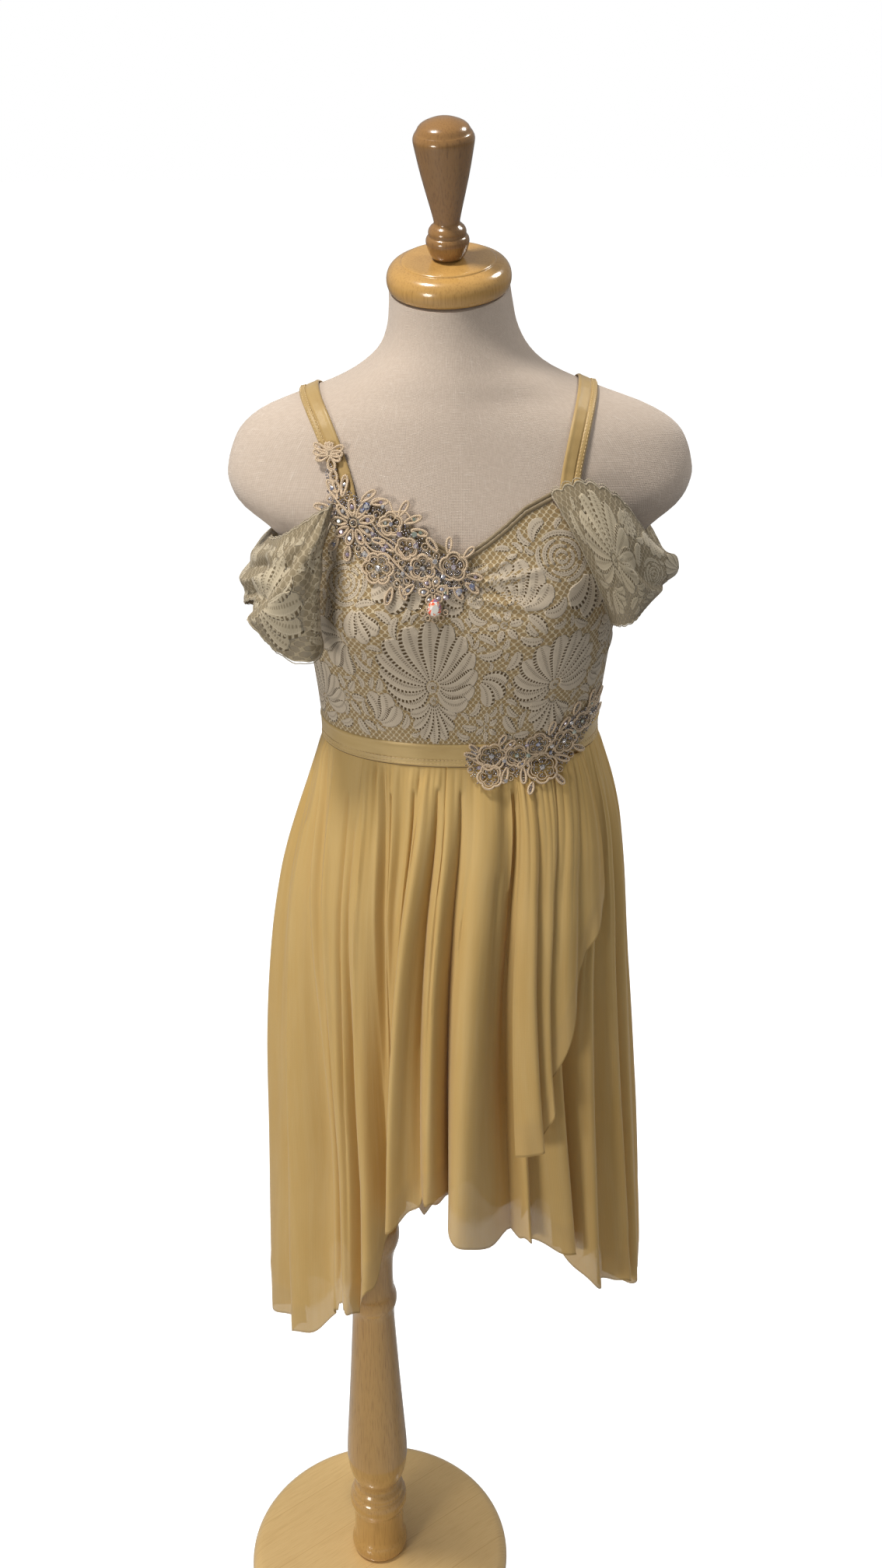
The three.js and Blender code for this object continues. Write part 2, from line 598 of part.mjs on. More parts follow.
// Waistband
function waistband() {
  const height = WAIST_TOP - WAIST_BOTTOM;
  return wall((u, v) => offTorso(360 * u, WAIST_BOTTOM + height * v, EASE), 48, 2, BAND, true);
}
piece('waistband', waistband(), satin);

// Straps: wrapped over the shoulder round a level line at STRAP_PIVOT
function insideTorso(point) {
  const dx = point.x - TORSO_X - smooth(TORSO_RINGS, 'z', 'x', point.z);
  const angle = Math.atan2(dx, -point.y) / RAD;
  const reach = ovalRadius(TORSO_RINGS, angle, point.z) + bust(angle, point.z);
  return point.z < NECK_TOP && Math.hypot(dx, point.y) < reach;
}

function overShoulder(x, turn, distance) {
  let near = 0;
  let far = 150;
  const out = new THREE.Vector3(0, -Math.cos(turn * RAD), Math.sin(turn * RAD));
  const place = (r) => new THREE.Vector3(x, 0, STRAP_PIVOT).addScaledVector(out, r);
  for (let step = 0; step < 30; step += 1) {
    const middle = (near + far) / 2;
    if (insideTorso(place(middle))) near = middle;
    else far = middle;
  }
  return place(near + distance);
}

function strap({ front, top, back }) {
  return wall((u, v) => {
    const turn = mix(STRAP_FRONT_ANGLE, STRAP_BACK_ANGLE, v);
    const over = Math.max(0, Math.sin(turn * RAD)) ** STRAP_CURVE;
    const middle = mix(turn < 90 ? front : back, top, over);
    const foot = 1 - ramp((Math.min(turn, 180 - turn) - STRAP_FRONT_ANGLE) / STRAP_FOOT);
    return overShoulder(TORSO_X + middle + STRAP_WIDTH * (u - 0.5), turn, mix(ON_FORM, ON_BODICE, foot));
  }, 2, 22, CLOTH);
}
piece('strap_left', strap(LEFT_STRAP), satin);
piece('strap_right', strap(RIGHT_STRAP), satin);

// Sleeve drapes: a smooth sheet through the rows of the table
function drape(table, side) {
  const rows = table.map((row, i) => ({ i, ...row }));
  const across = ['top', 'belly', 'low'];
  return wall((u, v) => {
    const at = (side < 0 ? 1 - u : u) * (rows.length - 1);
    const spots = across.map((part) => [0, 1, 2].map((axis) => {
      const column = rows.map((row) => ({ i: row.i, value: row[part][axis] }));
      return smooth(column, 'i', 'value', at);
    }));
    const level = 1 - v;
    const weights = [(1 - level) * (1 - 2 * level), 4 * level * (1 - level), level * (2 * level - 1)];
    const [x, y, z] = [0, 1, 2].map((axis) => weights.reduce((sum, w, k) => sum + w * spots[k][axis], 0));
    return new THREE.Vector3(TORSO_X + x, y, z);
  }, 2 * (rows.length - 1), 4, CLOTH);
}
piece('sleeve_left', drape(LEFT_DRAPE, -1), lace);
piece('sleeve_right', drape(RIGHT_DRAPE, 1), lace);

// Skirt: s counts folds, v runs from the waist (0) to the hem (1)
function fold(i) {
  const turns = Math.floor(i / FOLDS.length);
  const row = FOLDS[i - turns * FOLDS.length];
  return { ...row, waist: row.waist + 360 * turns, hem: row.hem + 360 * turns };
}

function skirtPoint(s, v) {
  const i = Math.floor(s);
  const p = s - i;
  const here = fold(i);
  const next = fold(i + 1);
  const settle = 1 - (1 - v) ** 3;
  const foot = mix(here.waist, here.hem, settle);
  const nextFoot = mix(next.waist, next.hem, settle);
  const arch = Math.sin(Math.PI * p);
  const angle = mix(foot, nextFoot, p) + (here.lean * v * (nextFoot - foot) * arch) / 2;
  const hemAngle = wrap(mix(here.hem, next.hem, p));
  const z = mix(SKIRT_TOP, smooth(HEM, 'angle', 'z', hemAngle), v);
  const drop = SKIRT_TOP - z;
  const sink = -mix(here.sink, next.sink, ramp(p)) * ramp((drop - SINK_FROM) / (SINK_TO - SINK_FROM));
  const rise = here.rise * (1 - Math.exp(-drop / RISE_LENGTH));
  const out = sink + (rise - sink) * arch ** CREST_SHARPNESS;
  return around(SKIRT_RINGS, angle, z, out);
}

function skirtPanel(first, last, rows) {
  const columns = (last - first) * COLUMNS_PER_FOLD;
  const point = (u, v) => skirtPoint(mix(first + SKIRT_SEAM, last - SKIRT_SEAM, u), 1 - v);
  return wall(point, columns, rows, CLOTH);
}
piece('skirt_front', skirtPanel(-0.5, FRONT_FOLDS + 0.5, 8), mesh);
piece('skirt_back', skirtPanel(FRONT_FOLDS + 0.5, FOLDS.length - 0.5, 8), mesh);

// Overlay: a panel outside the skirt's crests, with a free edge that climbs to the right
function overlayPoint(s, v) {
  const i = Math.min(OVERLAY_FOLDS.length - 2, Math.floor(s));
  const p = s - i;
  const here = OVERLAY_FOLDS[i];
  const next = OVERLAY_FOLDS[i + 1];
  const rows = OVERLAY_FOLDS.map((row, k) => ({ k, ...row }));
  const drop = v * smooth(rows, 'k', 'drop', s);
  const settle = 1 - (1 - v) ** 2;
  const foot = mix(here.waist, here.low, settle);
  const nextFoot = mix(next.waist, next.low, settle);
  const arch = Math.sin(Math.PI * p);
  const angle = mix(foot, nextFoot, p) + (here.lean * v * (nextFoot - foot) * arch) / 2;
  const grown = 1 - Math.exp(-drop / RISE_LENGTH);
  const shape = here.rise * arch ** CREST_SHARPNESS - mix(here.sink, next.sink, p);
  const out = OVERLAY_CLEAR + grown * (OVERLAY_LIFT + shape);
  return around(SKIRT_RINGS, angle, SKIRT_TOP - drop, out);
}
function overlay(columnsPerFold, rows) {
  const folds = OVERLAY_FOLDS.length - 1;
  return wall((u, v) => overlayPoint(u * folds, 1 - v), columnsPerFold * folds, rows, CLOTH);
}
piece('skirt_overlay', overlay(5, 6), mesh);

// Appliques: plates on the cloth, widening and narrowing along their spine
function angleOf(x, z) {
  let left = -95;
  let right = 95;
  for (let step = 0; step < 24; step += 1) {
    const middle = (left + right) / 2;
    if (offTorso(middle, z, EASE).x - TORSO_X < x) left = middle;
    else right = middle;
  }
  return left;
}

const SPINE_STEP = 0.2;      // rows before and after a place that give the spine's direction

function applique(table, clear, columns) {
  const rows = table.map((row, k) => ({ k, ...row }));
  const spine = (at) => [smooth(rows, 'k', 'x', at), smooth(rows, 'k', 'z', at)];
  return wall((u, v) => {
    const at = u * (rows.length - 1);
    const [x, z] = spine(at);
    const [fromX, fromZ] = spine(at - SPINE_STEP);
    const [toX, toZ] = spine(at + SPINE_STEP);
    const length = Math.hypot(toX - fromX, toZ - fromZ);
    const across = smooth(rows, 'k', 'reach', at) * (2 * v - 1);
    const placeX = x - (across * (toZ - fromZ)) / length;
    const placeZ = z + (across * (toX - fromX)) / length;
    return clear(angleOf(placeX, placeZ), placeZ);
  }, columns, 3, APPLIQUE);
}
piece('applique_neckline', applique(NECK_APPLIQUE, (angle, z) => offTorso(angle, z, ON_CLOTH), 18), cord);

function overBand(angle, z) {
  return offTorso(angle, z, ON_BAND + SKIRT_FLARE * Math.max(0, SKIRT_FLARE_TOP - z));
}
piece('applique_waist', applique(WAIST_APPLIQUE, overBand, 18), cord);

// Crystal drop: a faceted stone that hangs from the neckline applique
function drop() {
  const profile = [
    { r: DROP.radius * 0.6, z: 0 },
    { r: DROP.radius, z: DROP.depth * 0.4 },
    { r: DROP.radius * 0.55, z: DROP.depth },
  ];
  return turned(profile, DROP.depth, 8);
}
const stone = piece('pendant_crystal', drop(), crystal);
stone.position.copy(offTorso(DROP.angle, DROP.z, EASE + CLOTH + 0.6));
stone.quaternion.setFromUnitVectors(
  new THREE.Vector3(0, 0, 1),
  offTorso(DROP.angle, DROP.z, 2).sub(offTorso(DROP.angle, DROP.z, 1)).normalize(),
);

export default object;
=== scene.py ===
"""The looks of a lyrical dance dress on a limbless dress form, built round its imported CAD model.

Shapes are worked out in millimetres in the CAD's frame, +Z up and the dress facing -Y, and
become metres when a mesh is made. Left and right are as seen from the front.
"""

import math
import random

import bpy
import numpy as np
from mathutils import Matrix


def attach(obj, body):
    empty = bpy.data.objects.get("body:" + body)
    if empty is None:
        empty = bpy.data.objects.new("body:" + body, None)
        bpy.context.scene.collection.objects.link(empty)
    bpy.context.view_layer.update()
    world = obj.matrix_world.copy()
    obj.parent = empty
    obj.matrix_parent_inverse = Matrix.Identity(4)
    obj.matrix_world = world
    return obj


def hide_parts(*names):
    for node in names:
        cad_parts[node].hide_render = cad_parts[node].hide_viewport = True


MM = 0.001
RAD = math.pi / 180

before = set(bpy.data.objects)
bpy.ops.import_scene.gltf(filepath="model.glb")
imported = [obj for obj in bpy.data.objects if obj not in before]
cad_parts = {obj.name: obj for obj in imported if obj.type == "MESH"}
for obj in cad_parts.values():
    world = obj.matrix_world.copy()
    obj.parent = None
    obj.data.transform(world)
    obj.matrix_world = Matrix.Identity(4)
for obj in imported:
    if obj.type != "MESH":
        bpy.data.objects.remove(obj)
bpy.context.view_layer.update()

# ---------------------------------------------------------------- sizes, as in the CAD source
EASE = 2.0
CLOTH = 1.2
BAND = 2.2
TORSO_X = 88.0
TORSO_BOTTOM = 745.0
NECK_TOP = 1352.5
NECK_Y = -5.5
CAP_TILT = 15.5
CAP_LEAN = 2.1
CAP_HEIGHT = 22.6
SEAM = 0.3
WAIST_TOP = 1012.5
WAIST_BOTTOM = 992.5
SIDE_SEAM = 92.0
ON_FORM = EASE - 0.4
ON_BODICE = EASE + CLOTH + 1.1
ON_CLOTH = EASE + 4
ON_BAND = EASE + 3.1

# z, x, half width, depth to the front, depth to the back, squareness
TORSO_RINGS = [
    (745, 0, 108, 74, 82, 2.2),
    (750, 0, 119, 85, 93, 2.2),
    (768, 0, 126, 91, 100, 2.2),
    (805, 0, 129, 94, 103, 2.2),
    (850, 0, 128.5, 93, 102, 2.2),
    (900, 0, 125, 90, 97, 2.2),
    (945, 0, 118.5, 86, 88, 2.2),
    (980, 0, 113.8, 83, 81, 2.2),
    (1003, 0, 113.2, 82, 78, 2.2),
    (1030, 0, 115.5, 85, 79, 2.25),
    (1060, 0, 119, 89, 83, 2.3),
    (1086, 0, 122.3, 94, 87, 2.35),
    (1112, 0, 125.5, 97, 90, 2.4),
    (1140, 0, 131, 96, 92, 2.4),
    (1160, 0, 139, 93.5, 91, 2.35),
    (1176, 0, 156, 90.5, 89, 2.25),
    (1190, 0, 174, 87.5, 86.5, 2.15),
    (1203, 0, 182, 84, 83.5, 2.1),
    (1217, 0, 184, 80, 80, 2),
    (1240, 0, 177, 73.5, 73, 1.85),
    (1253, -1, 167, 70, 68.5, 1.75),
    (1265, -3, 148, 66.5, 64, 1.65),
    (1276, -4, 119, 63, 59, 1.6),
    (1287, -4, 90, 60, 54, 1.75),
    (1297, -5, 71, 57, 49, 1.85),
    (1309, -5, 57.5, 54.5, 44.5, 1.95),
    (1324, -6, 50, 52.5, 41, 2),
    (1340, -7, 47.2, 51.5, 40.5, 2),
    (1352.5, -8, 46, 51.5, 40.5, 2),
]
NECK_ROOT = 1290
BUST_ANGLE, BUST_Z, BUST_SPREAD, BUST_ABOVE, BUST_BELOW, BUST_OUT = 33, 1114, 20, 46, 38, 14

# angle, z of the dress's upper edge
UPPER_EDGE = [
    (-180, 1112), (-160, 1122), (-146, 1143), (-139, 1142), (-128, 1120), (-112, 1102),
    (-92, 1096), (-80, 1100), (-70, 1118), (-62, 1142), (-56, 1168), (-50, 1205),
    (-36, 1196), (-24, 1184), (-12, 1172), (-4, 1165), (0, 1163), (4, 1165.5),
    (12, 1174), (21, 1185), (30, 1197), (41, 1206), (50.5, 1169), (57, 1152),
    (63, 1130), (69, 1107), (80, 1098), (92, 1096), (112, 1102), (128, 1120),
    (139, 1142), (146, 1143), (160, 1122), (180, 1112),
]
BINDING_FROM, BINDING_TO, BINDING_HEIGHT = -43, 41, 6.5

SKIRT_RINGS = [
    (330, -2, 170, 148, 156, 2.05),
    (438, -3.5, 168.5, 145, 152, 2.05),
    (588, -6, 160.5, 136, 145, 2.05),
    (693, -8.5, 154.5, 128, 137, 2.1),
    (792, -8.5, 147.5, 118, 127, 2.15),
    (855, -6, 142, 111, 118, 2.2),
    (886, -4, 138, 106, 112, 2.2),
    (916, -1.5, 133, 101.5, 106, 2.2),
    (946, 0, 126.5, 96, 98, 2.2),
    (975, 0, 119.5, 89.5, 88, 2.2),
    (993, 0, 115.3, 84.2, 81.4, 2.2),
]
# angle, z of the hem
HEM = [
    (-180, 372), (-165, 362), (-150, 346), (-120, 330), (-100, 333), (-88, 345),
    (-76, 372), (-66, 390), (-58, 404), (-54, 425), (-50, 446), (-46, 452),
    (-41.5, 450), (-39.5, 464), (-35, 484), (-32.5, 496), (-30.5, 536), (-26, 556),
    (-22, 570), (-18, 578), (-12, 600), (-7, 611), (-2, 600), (3, 584), (10, 571),
    (17, 560), (23, 556), (29, 548), (35, 526), (40, 524), (44, 515), (50, 490),
    (60, 462), (70, 452), (84, 420), (95, 385), (115, 365), (140, 370), (180, 372),
]
# Folds: angle of the valley at the waist and at the hem, rise, sink, lean
FOLDS = [
    (-97, -100, 20, 14, -0.6),
    (-84, -76, 5, 13, -0.2),
    (-76, -54, -14, 17, 0),
    (-70, -48, -3, 14, 0.3),
    (-52, -41, -1, 17, 0.2),
    (-43, -29.5, -20, 22, 0),
    (-36, -26, -12, 24, 0),
    (-24, -22.5, 25, 24, -0.8),
    (-12, -12, 22, -8, -0.3),
    (0, -1.5, 29, 10, -0.8),
    (27, 23, 8, 13, 0),
    (36, 29, 12, 6, 1),
    (50, 41.5, -8, 18, 0),
    (58, 46, 15, 18, -0.4),
    (68, 58, 17, 3, 0.5),
    (77, 68, 19, 16, -0.6),
    (88, 84, 17, 8, 0.4),
    (100, 101, 21, 14, 0.8),
    (114, 117, 16, 18, -0.5),
    (130, 131, 24, 12, 0.9),
    (147, 149, 19, 20, -0.4),
    (163, 162, 25, 15, 0.6),
    (179, 180, 18, 20, -0.9),
    (195, 194, 23, 13, -0.5),
    (211, 212, 17, 19, 0.4),
    (228, 226, 24, 14, -0.9),
    (246, 243, 18, 17, -0.5),
]
FRONT_FOLDS = 17
RISE_LENGTH = 180
SINK_FROM, SINK_TO = 60, 420
CREST_SHARPNESS = 1.4
SKIRT_TOP = WAIST_BOTTOM - 2 * SEAM
SKIRT_SEAM = 0.01
# Overlay folds: angle at the waist, angle at the free edge, rise, sink, lean, drop
OVERLAY_FOLDS = [
    (27, 21, 11, 0, 0.9, 341),
    (36, 29, 8, 1, 0.8, 329),
    (46, 34, 9, 1, 0.3, 276),
    (56, 47, 6, 0, 0, 182),
    (63, 61, 0, 0, 0, 126),
]
OVERLAY_CLEAR = 2.4
OVERLAY_LIFT = 13

# Sleeve drapes: top, belly and lower points of each row
LEFT_DRAPE = [
    ((-97, -77, 1203), (-108, -78, 1166), (-122, -49, 1119)),
    ((-113, -84, 1194), (-128, -95, 1139), (-127, -79, 1084)),
    ((-134, -80, 1180), (-150, -84, 1141), (-149, -80, 1106)),
    ((-144, -58, 1172), (-152, -60, 1139), (-149, -56, 1112)),
    ((-150, -36, 1167), (-171, -32, 1129), (-158, -34, 1102)),
    ((-156, 4, 1157), (-172, 6, 1128), (-162, 6, 1098)),
    ((-150, 50, 1160), (-160, 58, 1132), (-148, 58, 1100)),
    ((-128, 77, 1162), (-137, 80, 1132), (-131, 74, 1102)),
    ((-102, 72, 1144), (-108, 63, 1125), (-113, 52, 1106)),
]
RIGHT_DRAPE = [
    ((68, -84, 1212), (97, -83, 1160), (119, -52, 1104)),
    ((90, -87, 1220), (116, -90, 1163), (129, -70, 1113)),
    ((116, -81, 1206), (134, -85, 1154), (138, -69, 1122)),
    ((143, -58, 1171), (154, -58, 1149), (152, -50, 1130)),
    ((160, -26, 1150), (171, -22, 1140), (161, -22, 1129)),
    ((156, 12, 1152), (168, 14, 1134), (159, 14, 1115)),
    ((150, 52, 1168), (160, 58, 1134), (148, 58, 1104)),
    ((128, 77, 1162), (137, 80, 1132), (131, 74, 1102)),
    ((102, 72, 1144), (108, 63, 1125), (113, 52, 1106)),
]

STRAP_WIDTH = 15
STRAP_PIVOT = 1180
LEFT_STRAP = (-85, -117, -82)
RIGHT_STRAP = (80, 99, 82)
STRAP_FRONT_ANGLE, STRAP_BACK_ANGLE, STRAP_FOOT, STRAP_CURVE = 14, 205, 20, 3

DROP_ANGLE, DROP_Z, DROP_RADIUS, DROP_DEPTH = -12, 1131, 5.5, 4.5

# Turned wood: radius and height
POST_PROFILE = [
    (27.5, 25.3), (30, 32), (29.6, 40), (27, 46), (26.3, 56), (26.3, 84), (28.5, 88),
    (30.8, 96), (29.5, 105), (26.5, 108), (27, 114), (23, 118), (22.5, 124), (28.6, 137),
    (31.5, 155), (31.9, 170), (29.3, 211), (26, 263), (23.2, 313), (21, 352), (21.8, 361),
    (24.4, 369), (24, 378), (20.8, 386), (20.6, 416), (22.4, 432), (27.8, 446),
    (28.2, 458), (25, 468), (20, 476), (19, 500), (17.5, 744.7),
]
BASE_PROFILE = [(137, 0), (139.6, 3), (140, 12), (138.4, 18), (134, 23), (128, 25)]
CAP_PROFILE = [
    (44.5, 0), (46.8, 3.5), (47.5, 9), (46.2, 14.5), (42.5, 18.8), (36.8, 20.8),
    (36, 20.8), (35.4, 22.6),
]
FINIAL_PROFILE = [
    (11.5, 0), (14.2, 4.5), (16.2, 10.5), (16.4, 14.2), (15.1, 16.5), (14, 17.1),
    (14.5, 20), (13, 23.2), (9.8, 25.5), (9.8, 28.5), (17.5, 59), (22, 82), (22.6, 86.5),
    (20.9, 90), (20.2, 90.6), (17.5, 95.5), (9.4, 99),
]
BASE_HEIGHT = 25
POST_TOP = TORSO_BOTTOM - SEAM
FINIAL_HEIGHT = 100


# ---------------------------------------------------------------- reading tables and shapes
def mix(a, b, t):
    return a + (b - a) * t


def ramp(t):
    """A smooth step from 0 to 1."""
    c = np.clip(t, 0, 1)
    return c * c * (3 - 2 * c)


def hump(distance, width):
    return np.exp(-((distance / width) ** 2))


def smooth(rows, column, at):
    """Reads a table between its rows, by a cubic through them. The first column is the key."""
    keys = np.array([row[0] for row in rows], float)
    values = np.array([row[column] for row in rows], float)
    last = len(keys) - 1
    at = np.asarray(at, float)
    i = np.clip(np.searchsorted(keys, at) - 1, 0, last - 1)
    before = np.maximum(i - 1, 0)
    after = np.minimum(i + 2, last)
    span = keys[i + 1] - keys[i]
    t = np.clip((at - keys[i]) / span, 0, 1)
    leave = span * (values[i + 1] - values[before]) / (keys[i + 1] - keys[before])
    arrive = span * (values[after] - values[i]) / (keys[after] - keys[i])
    t2, t3 = t * t, t * t * t
    return ((2 * t3 - 3 * t2 + 1) * values[i] + (t3 - 2 * t2 + t) * leave
            + (3 * t2 - 2 * t3) * values[i + 1] + (t3 - t2) * arrive)


def wrap(angle):
    return (np.asarray(angle, float) + 180) % 360 - 180


def upper_edge(angle):
    keys, heights = zip(*UPPER_EDGE)
    return np.interp(wrap(angle), keys, heights)


def oval_radius(rings, angle, z):
    side, ahead = np.sin(angle * RAD), np.cos(angle * RAD)
    depth = np.where(ahead > 0, smooth(rings, 3, z), smooth(rings, 4, z))
    square = smooth(rings, 5, z)
    reach = np.abs(side / smooth(rings, 2, z)) ** square + np.abs(ahead / depth) ** square
    return reach ** (-1 / square)


def around(rings, angle, z, out):
    r = oval_radius(rings, angle, z) + out
    x = TORSO_X + smooth(rings, 1, z) + r * np.sin(angle * RAD)
    return np.stack(np.broadcast_arrays(x, -r * np.cos(angle * RAD), z), -1)


def bust(angle, z):
    high = (z - BUST_Z) / np.where(z > BUST_Z, BUST_ABOVE, BUST_BELOW)
    angle = wrap(angle)
    sides = hump(angle + BUST_ANGLE, BUST_SPREAD) + hump(angle - BUST_ANGLE, BUST_SPREAD)
    return BUST_OUT * np.exp(-high * high) * sides


def torso_point(angle, z):
    angle, z = np.broadcast_arrays(np.asarray(angle, float), np.asarray(z, float))
    return around(TORSO_RINGS, angle, z, bust(angle, z))


def unit(vectors):
    return vectors / np.maximum(np.linalg.norm(vectors, axis=-1, keepdims=True), 1e-9)


def off_torso(angle, z, distance):
    """A point at some distance off the torso, square to its surface."""
    turn = torso_point(angle + 1, z) - torso_point(angle - 1, z)
    climb = torso_point(angle, z + 2) - torso_point(angle, z - 2)
    return torso_point(angle, z) + unit(np.cross(turn, climb)) * np.asarray(distance)[..., None]


# ---------------------------------------------------------------- meshes
def normals_of(grid, closed):
    """The unit normal at each point of a grid of points, (columns) x (rows)."""
    if closed:
        turn = np.roll(grid, -1, 0) - np.roll(grid, 1, 0)
    else:
        turn = np.gradient(grid, axis=0)
    return unit(np.cross(turn, np.gradient(grid, axis=1)))


class Heap:
    """Points and faces that are gathered into one mesh."""

    def __init__(self):
        self.points, self.faces, self.maps = [], [], []
        self.count = 0

    def add(self, points, faces, uv):
        """faces is a list of index tuples; uv has one pair for each point."""
        uv = np.asarray(uv, float)
        self.points.append(np.asarray(points, float).reshape(-1, 3))
        for face in faces:
            self.faces.append(tuple(int(k) + self.count for k in face))
            self.maps.append(uv[list(face)])
        self.count += len(self.points[-1])

    def build(self, name, material, smooth_shade=True):
        return make_mesh(name, np.concatenate(self.points), self.faces,
                         np.concatenate(self.maps), material, smooth_shade)


def make_mesh(name, points, faces, loop_uv, material, smooth_shade=True, sharp=None):
    """Makes an object from points in millimetres. loop_uv is in millimetres too."""
    mesh = bpy.data.meshes.new(name)
    mesh.from_pydata((np.asarray(points) * MM).tolist(), [], faces)
    layer = mesh.uv_layers.new(name="cloth")
    layer.data.foreach_set("uv", np.asarray(loop_uv, float).ravel())
    mesh.polygons.foreach_set("use_smooth", [smooth_shade] * len(mesh.polygons))
    mesh.materials.append(material)
    mesh.update()
    if sharp is not None:
        mesh.set_sharp_from_angle(angle=sharp * RAD)
    thing = bpy.data.objects.new(name, mesh)
    bpy.context.scene.collection.objects.link(thing)
    return thing


def shell(name, grid, thickness, uv, material, closed=False):
    """A closed wall of cloth. grid is its inner face, columns x rows, and uv the same grid's
    place on the flat cloth; a closed shell's uv has one more column than its grid."""
    columns, rows = grid.shape[:2]
    size = columns * rows
    outer = grid + normals_of(grid, closed) * np.asarray(thickness)[..., None]
    points = np.concatenate([grid.reshape(-1, 3), outer.reshape(-1, 3)])
    ids = np.arange(size).reshape(columns, rows)
    if closed:
        ids = np.concatenate([ids, ids[:1]])
    maps = np.arange((columns + closed) * rows).reshape(columns + closed, rows)
    flat_uv = uv.reshape(-1, 2)

    def quads(g):
        return np.stack([g[:-1, :-1], g[1:, :-1], g[1:, 1:], g[:-1, 1:]], -1).reshape(-1, 4)

    faces, corners = [], []
    top, low = quads(ids), quads(maps)
    faces += [top + size, top[:, ::-1]]
    corners += [low, low[:, ::-1]]

    def rim(line, place):
        faces.append(np.stack([line[:-1] + size, line[:-1], line[1:], line[1:] + size], -1))
        corners.append(np.stack([place[:-1], place[:-1], place[1:], place[1:]], -1))

    rim(ids[:, 0], maps[:, 0])
    rim(ids[::-1, -1], maps[::-1, -1])
    if not closed:
        rim(ids[0, ::-1], maps[0, ::-1])
        rim(ids[-1, :], maps[-1, :])
    faces = np.concatenate(faces)
    loop_uv = flat_uv[np.concatenate(corners).ravel()]
    return make_mesh(name, points, faces.tolist(), loop_uv, material, sharp=50)


def flat_uv(grid, closed=False):
    """Lays a grid of points out flat: lengths along its middle row, and up each column."""
    if closed:
        grid = np.concatenate([grid, grid[:1]])
    across = np.linalg.norm(np.diff(grid, axis=0), axis=2).mean(1)
    up = np.linalg.norm(np.diff(grid, axis=1), axis=2)
    u = np.concatenate([[0], np.cumsum(across)])
    v = np.concatenate([np.zeros((len(grid), 1)), np.cumsum(up, axis=1)], axis=1)
    return np.stack([np.broadcast_to(u[:, None], v.shape), v], -1)


def place(thing, slot, *nodes):
    """A finished piece: it rides on the one body, and stands for CAD nodes."""
    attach(thing, "root")
    if nodes:
        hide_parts(*nodes)
    return thing


def tube(heap, path, normals, radius, sides=6, closed=False, flat=1.0):
    """A round cord along a path. normals point away from what it lies on."""
    path, normals = np.asarray(path, float), unit(np.asarray(normals, float))
    if closed:
        along = np.roll(path, -1, 0) - np.roll(path, 1, 0)
    else:
        along = np.gradient(path, axis=0)
    along = unit(along)
    side = unit(np.cross(along, normals))
    up = np.cross(side, along)
    radius = np.broadcast_to(np.asarray(radius, float), (len(path),))[:, None]
    turns = np.arange(sides) * (2 * math.pi / sides)
    rings = [path + radius * (math.cos(a) * side + flat * math.sin(a) * up) for a in turns]
    points = np.stack(rings, 1).reshape(-1, 3)
    length = np.concatenate([[0], np.cumsum(np.linalg.norm(np.diff(path, axis=0), axis=1))])
    uv = np.stack(np.broadcast_arrays(length[:, None], np.arange(sides)[None, :] * 1.0), -1)
    faces = []
    count = len(path)
    for i in range(count if closed else count - 1):
        here, there = i * sides, ((i + 1) % count) * sides
        for k in range(sides):
            n = (k + 1) % sides
            faces.append((here + k, here + n, there + n, there + k))
    if not closed:
        faces.append(tuple(range(sides))[::-1])
        faces.append(tuple((count - 1) * sides + k for k in range(sides)))
    heap.add(points, faces, uv.reshape(-1, 2))


def lathe(name, profile, top, sides, material, matrix=None):
    """Turned wood, with the profile's corners eased by cutting them twice."""
    line = np.array([(profile[0][0] * 0.5, profile[0][1]), *profile, (profile[-1][0] * 0.5, top)])
    line = line.astype(float)
    for _ in range(2):
        cut = np.empty((2 * len(line) - 2, 2))
        cut[0::2] = 0.75 * line[:-1] + 0.25 * line[1:]
        cut[1::2] = 0.25 * line[:-1] + 0.75 * line[1:]
        line = np.concatenate([line[:1], cut, line[-1:]])
    turns = np.arange(sides) * (2 * math.pi / sides)
    ring = np.stack([np.cos(turns), np.sin(turns)], -1)
    points = np.concatenate([
        np.concatenate([ring * r, np.full((sides, 1), z)], 1) for r, z in line
    ] + [np.array([[0, 0, line[0][1]], [0, 0, line[-1][1]]])])
    faces, uv = [], []
    spread = max(r for r, _ in profile) * 2 * math.pi / sides
    for j in range(len(line) - 1):
        for i in range(sides):
            n = (i + 1) % sides
            faces.append((j * sides + i, j * sides + n, (j + 1) * sides + n, (j + 1) * sides + i))
            low, high = line[j][1], line[j + 1][1]
            uv += [(i * spread, low), ((i + 1) * spread, low),
                   ((i + 1) * spread, high), (i * spread, high)]
    bottom, crown = len(points) - 2, len(points) - 1
    last = (len(line) - 1) * sides
    for i in range(sides):
        n = (i + 1) % sides
        faces += [(n, i, bottom), (last + i, last + n, crown)]
        uv += [(n, 0), (i, 0), (i, 1), (i, 0), (n, 0), (i, 1)]
    thing = make_mesh(name, points, faces, uv, material, sharp=60)
    if matrix is not None:
        thing.matrix_world = matrix
    return thing


# ---------------------------------------------------------------- materials
def rgb(red, green, blue):
    """An sRGB colour, 0 to 255, as Blender's linear colour."""
    parts = [c / 255 for c in (red, green, blue)]
    return tuple(c / 12.92 if c <= 0.04045 else ((c + 0.055) / 1.055) ** 2.4 for c in parts)


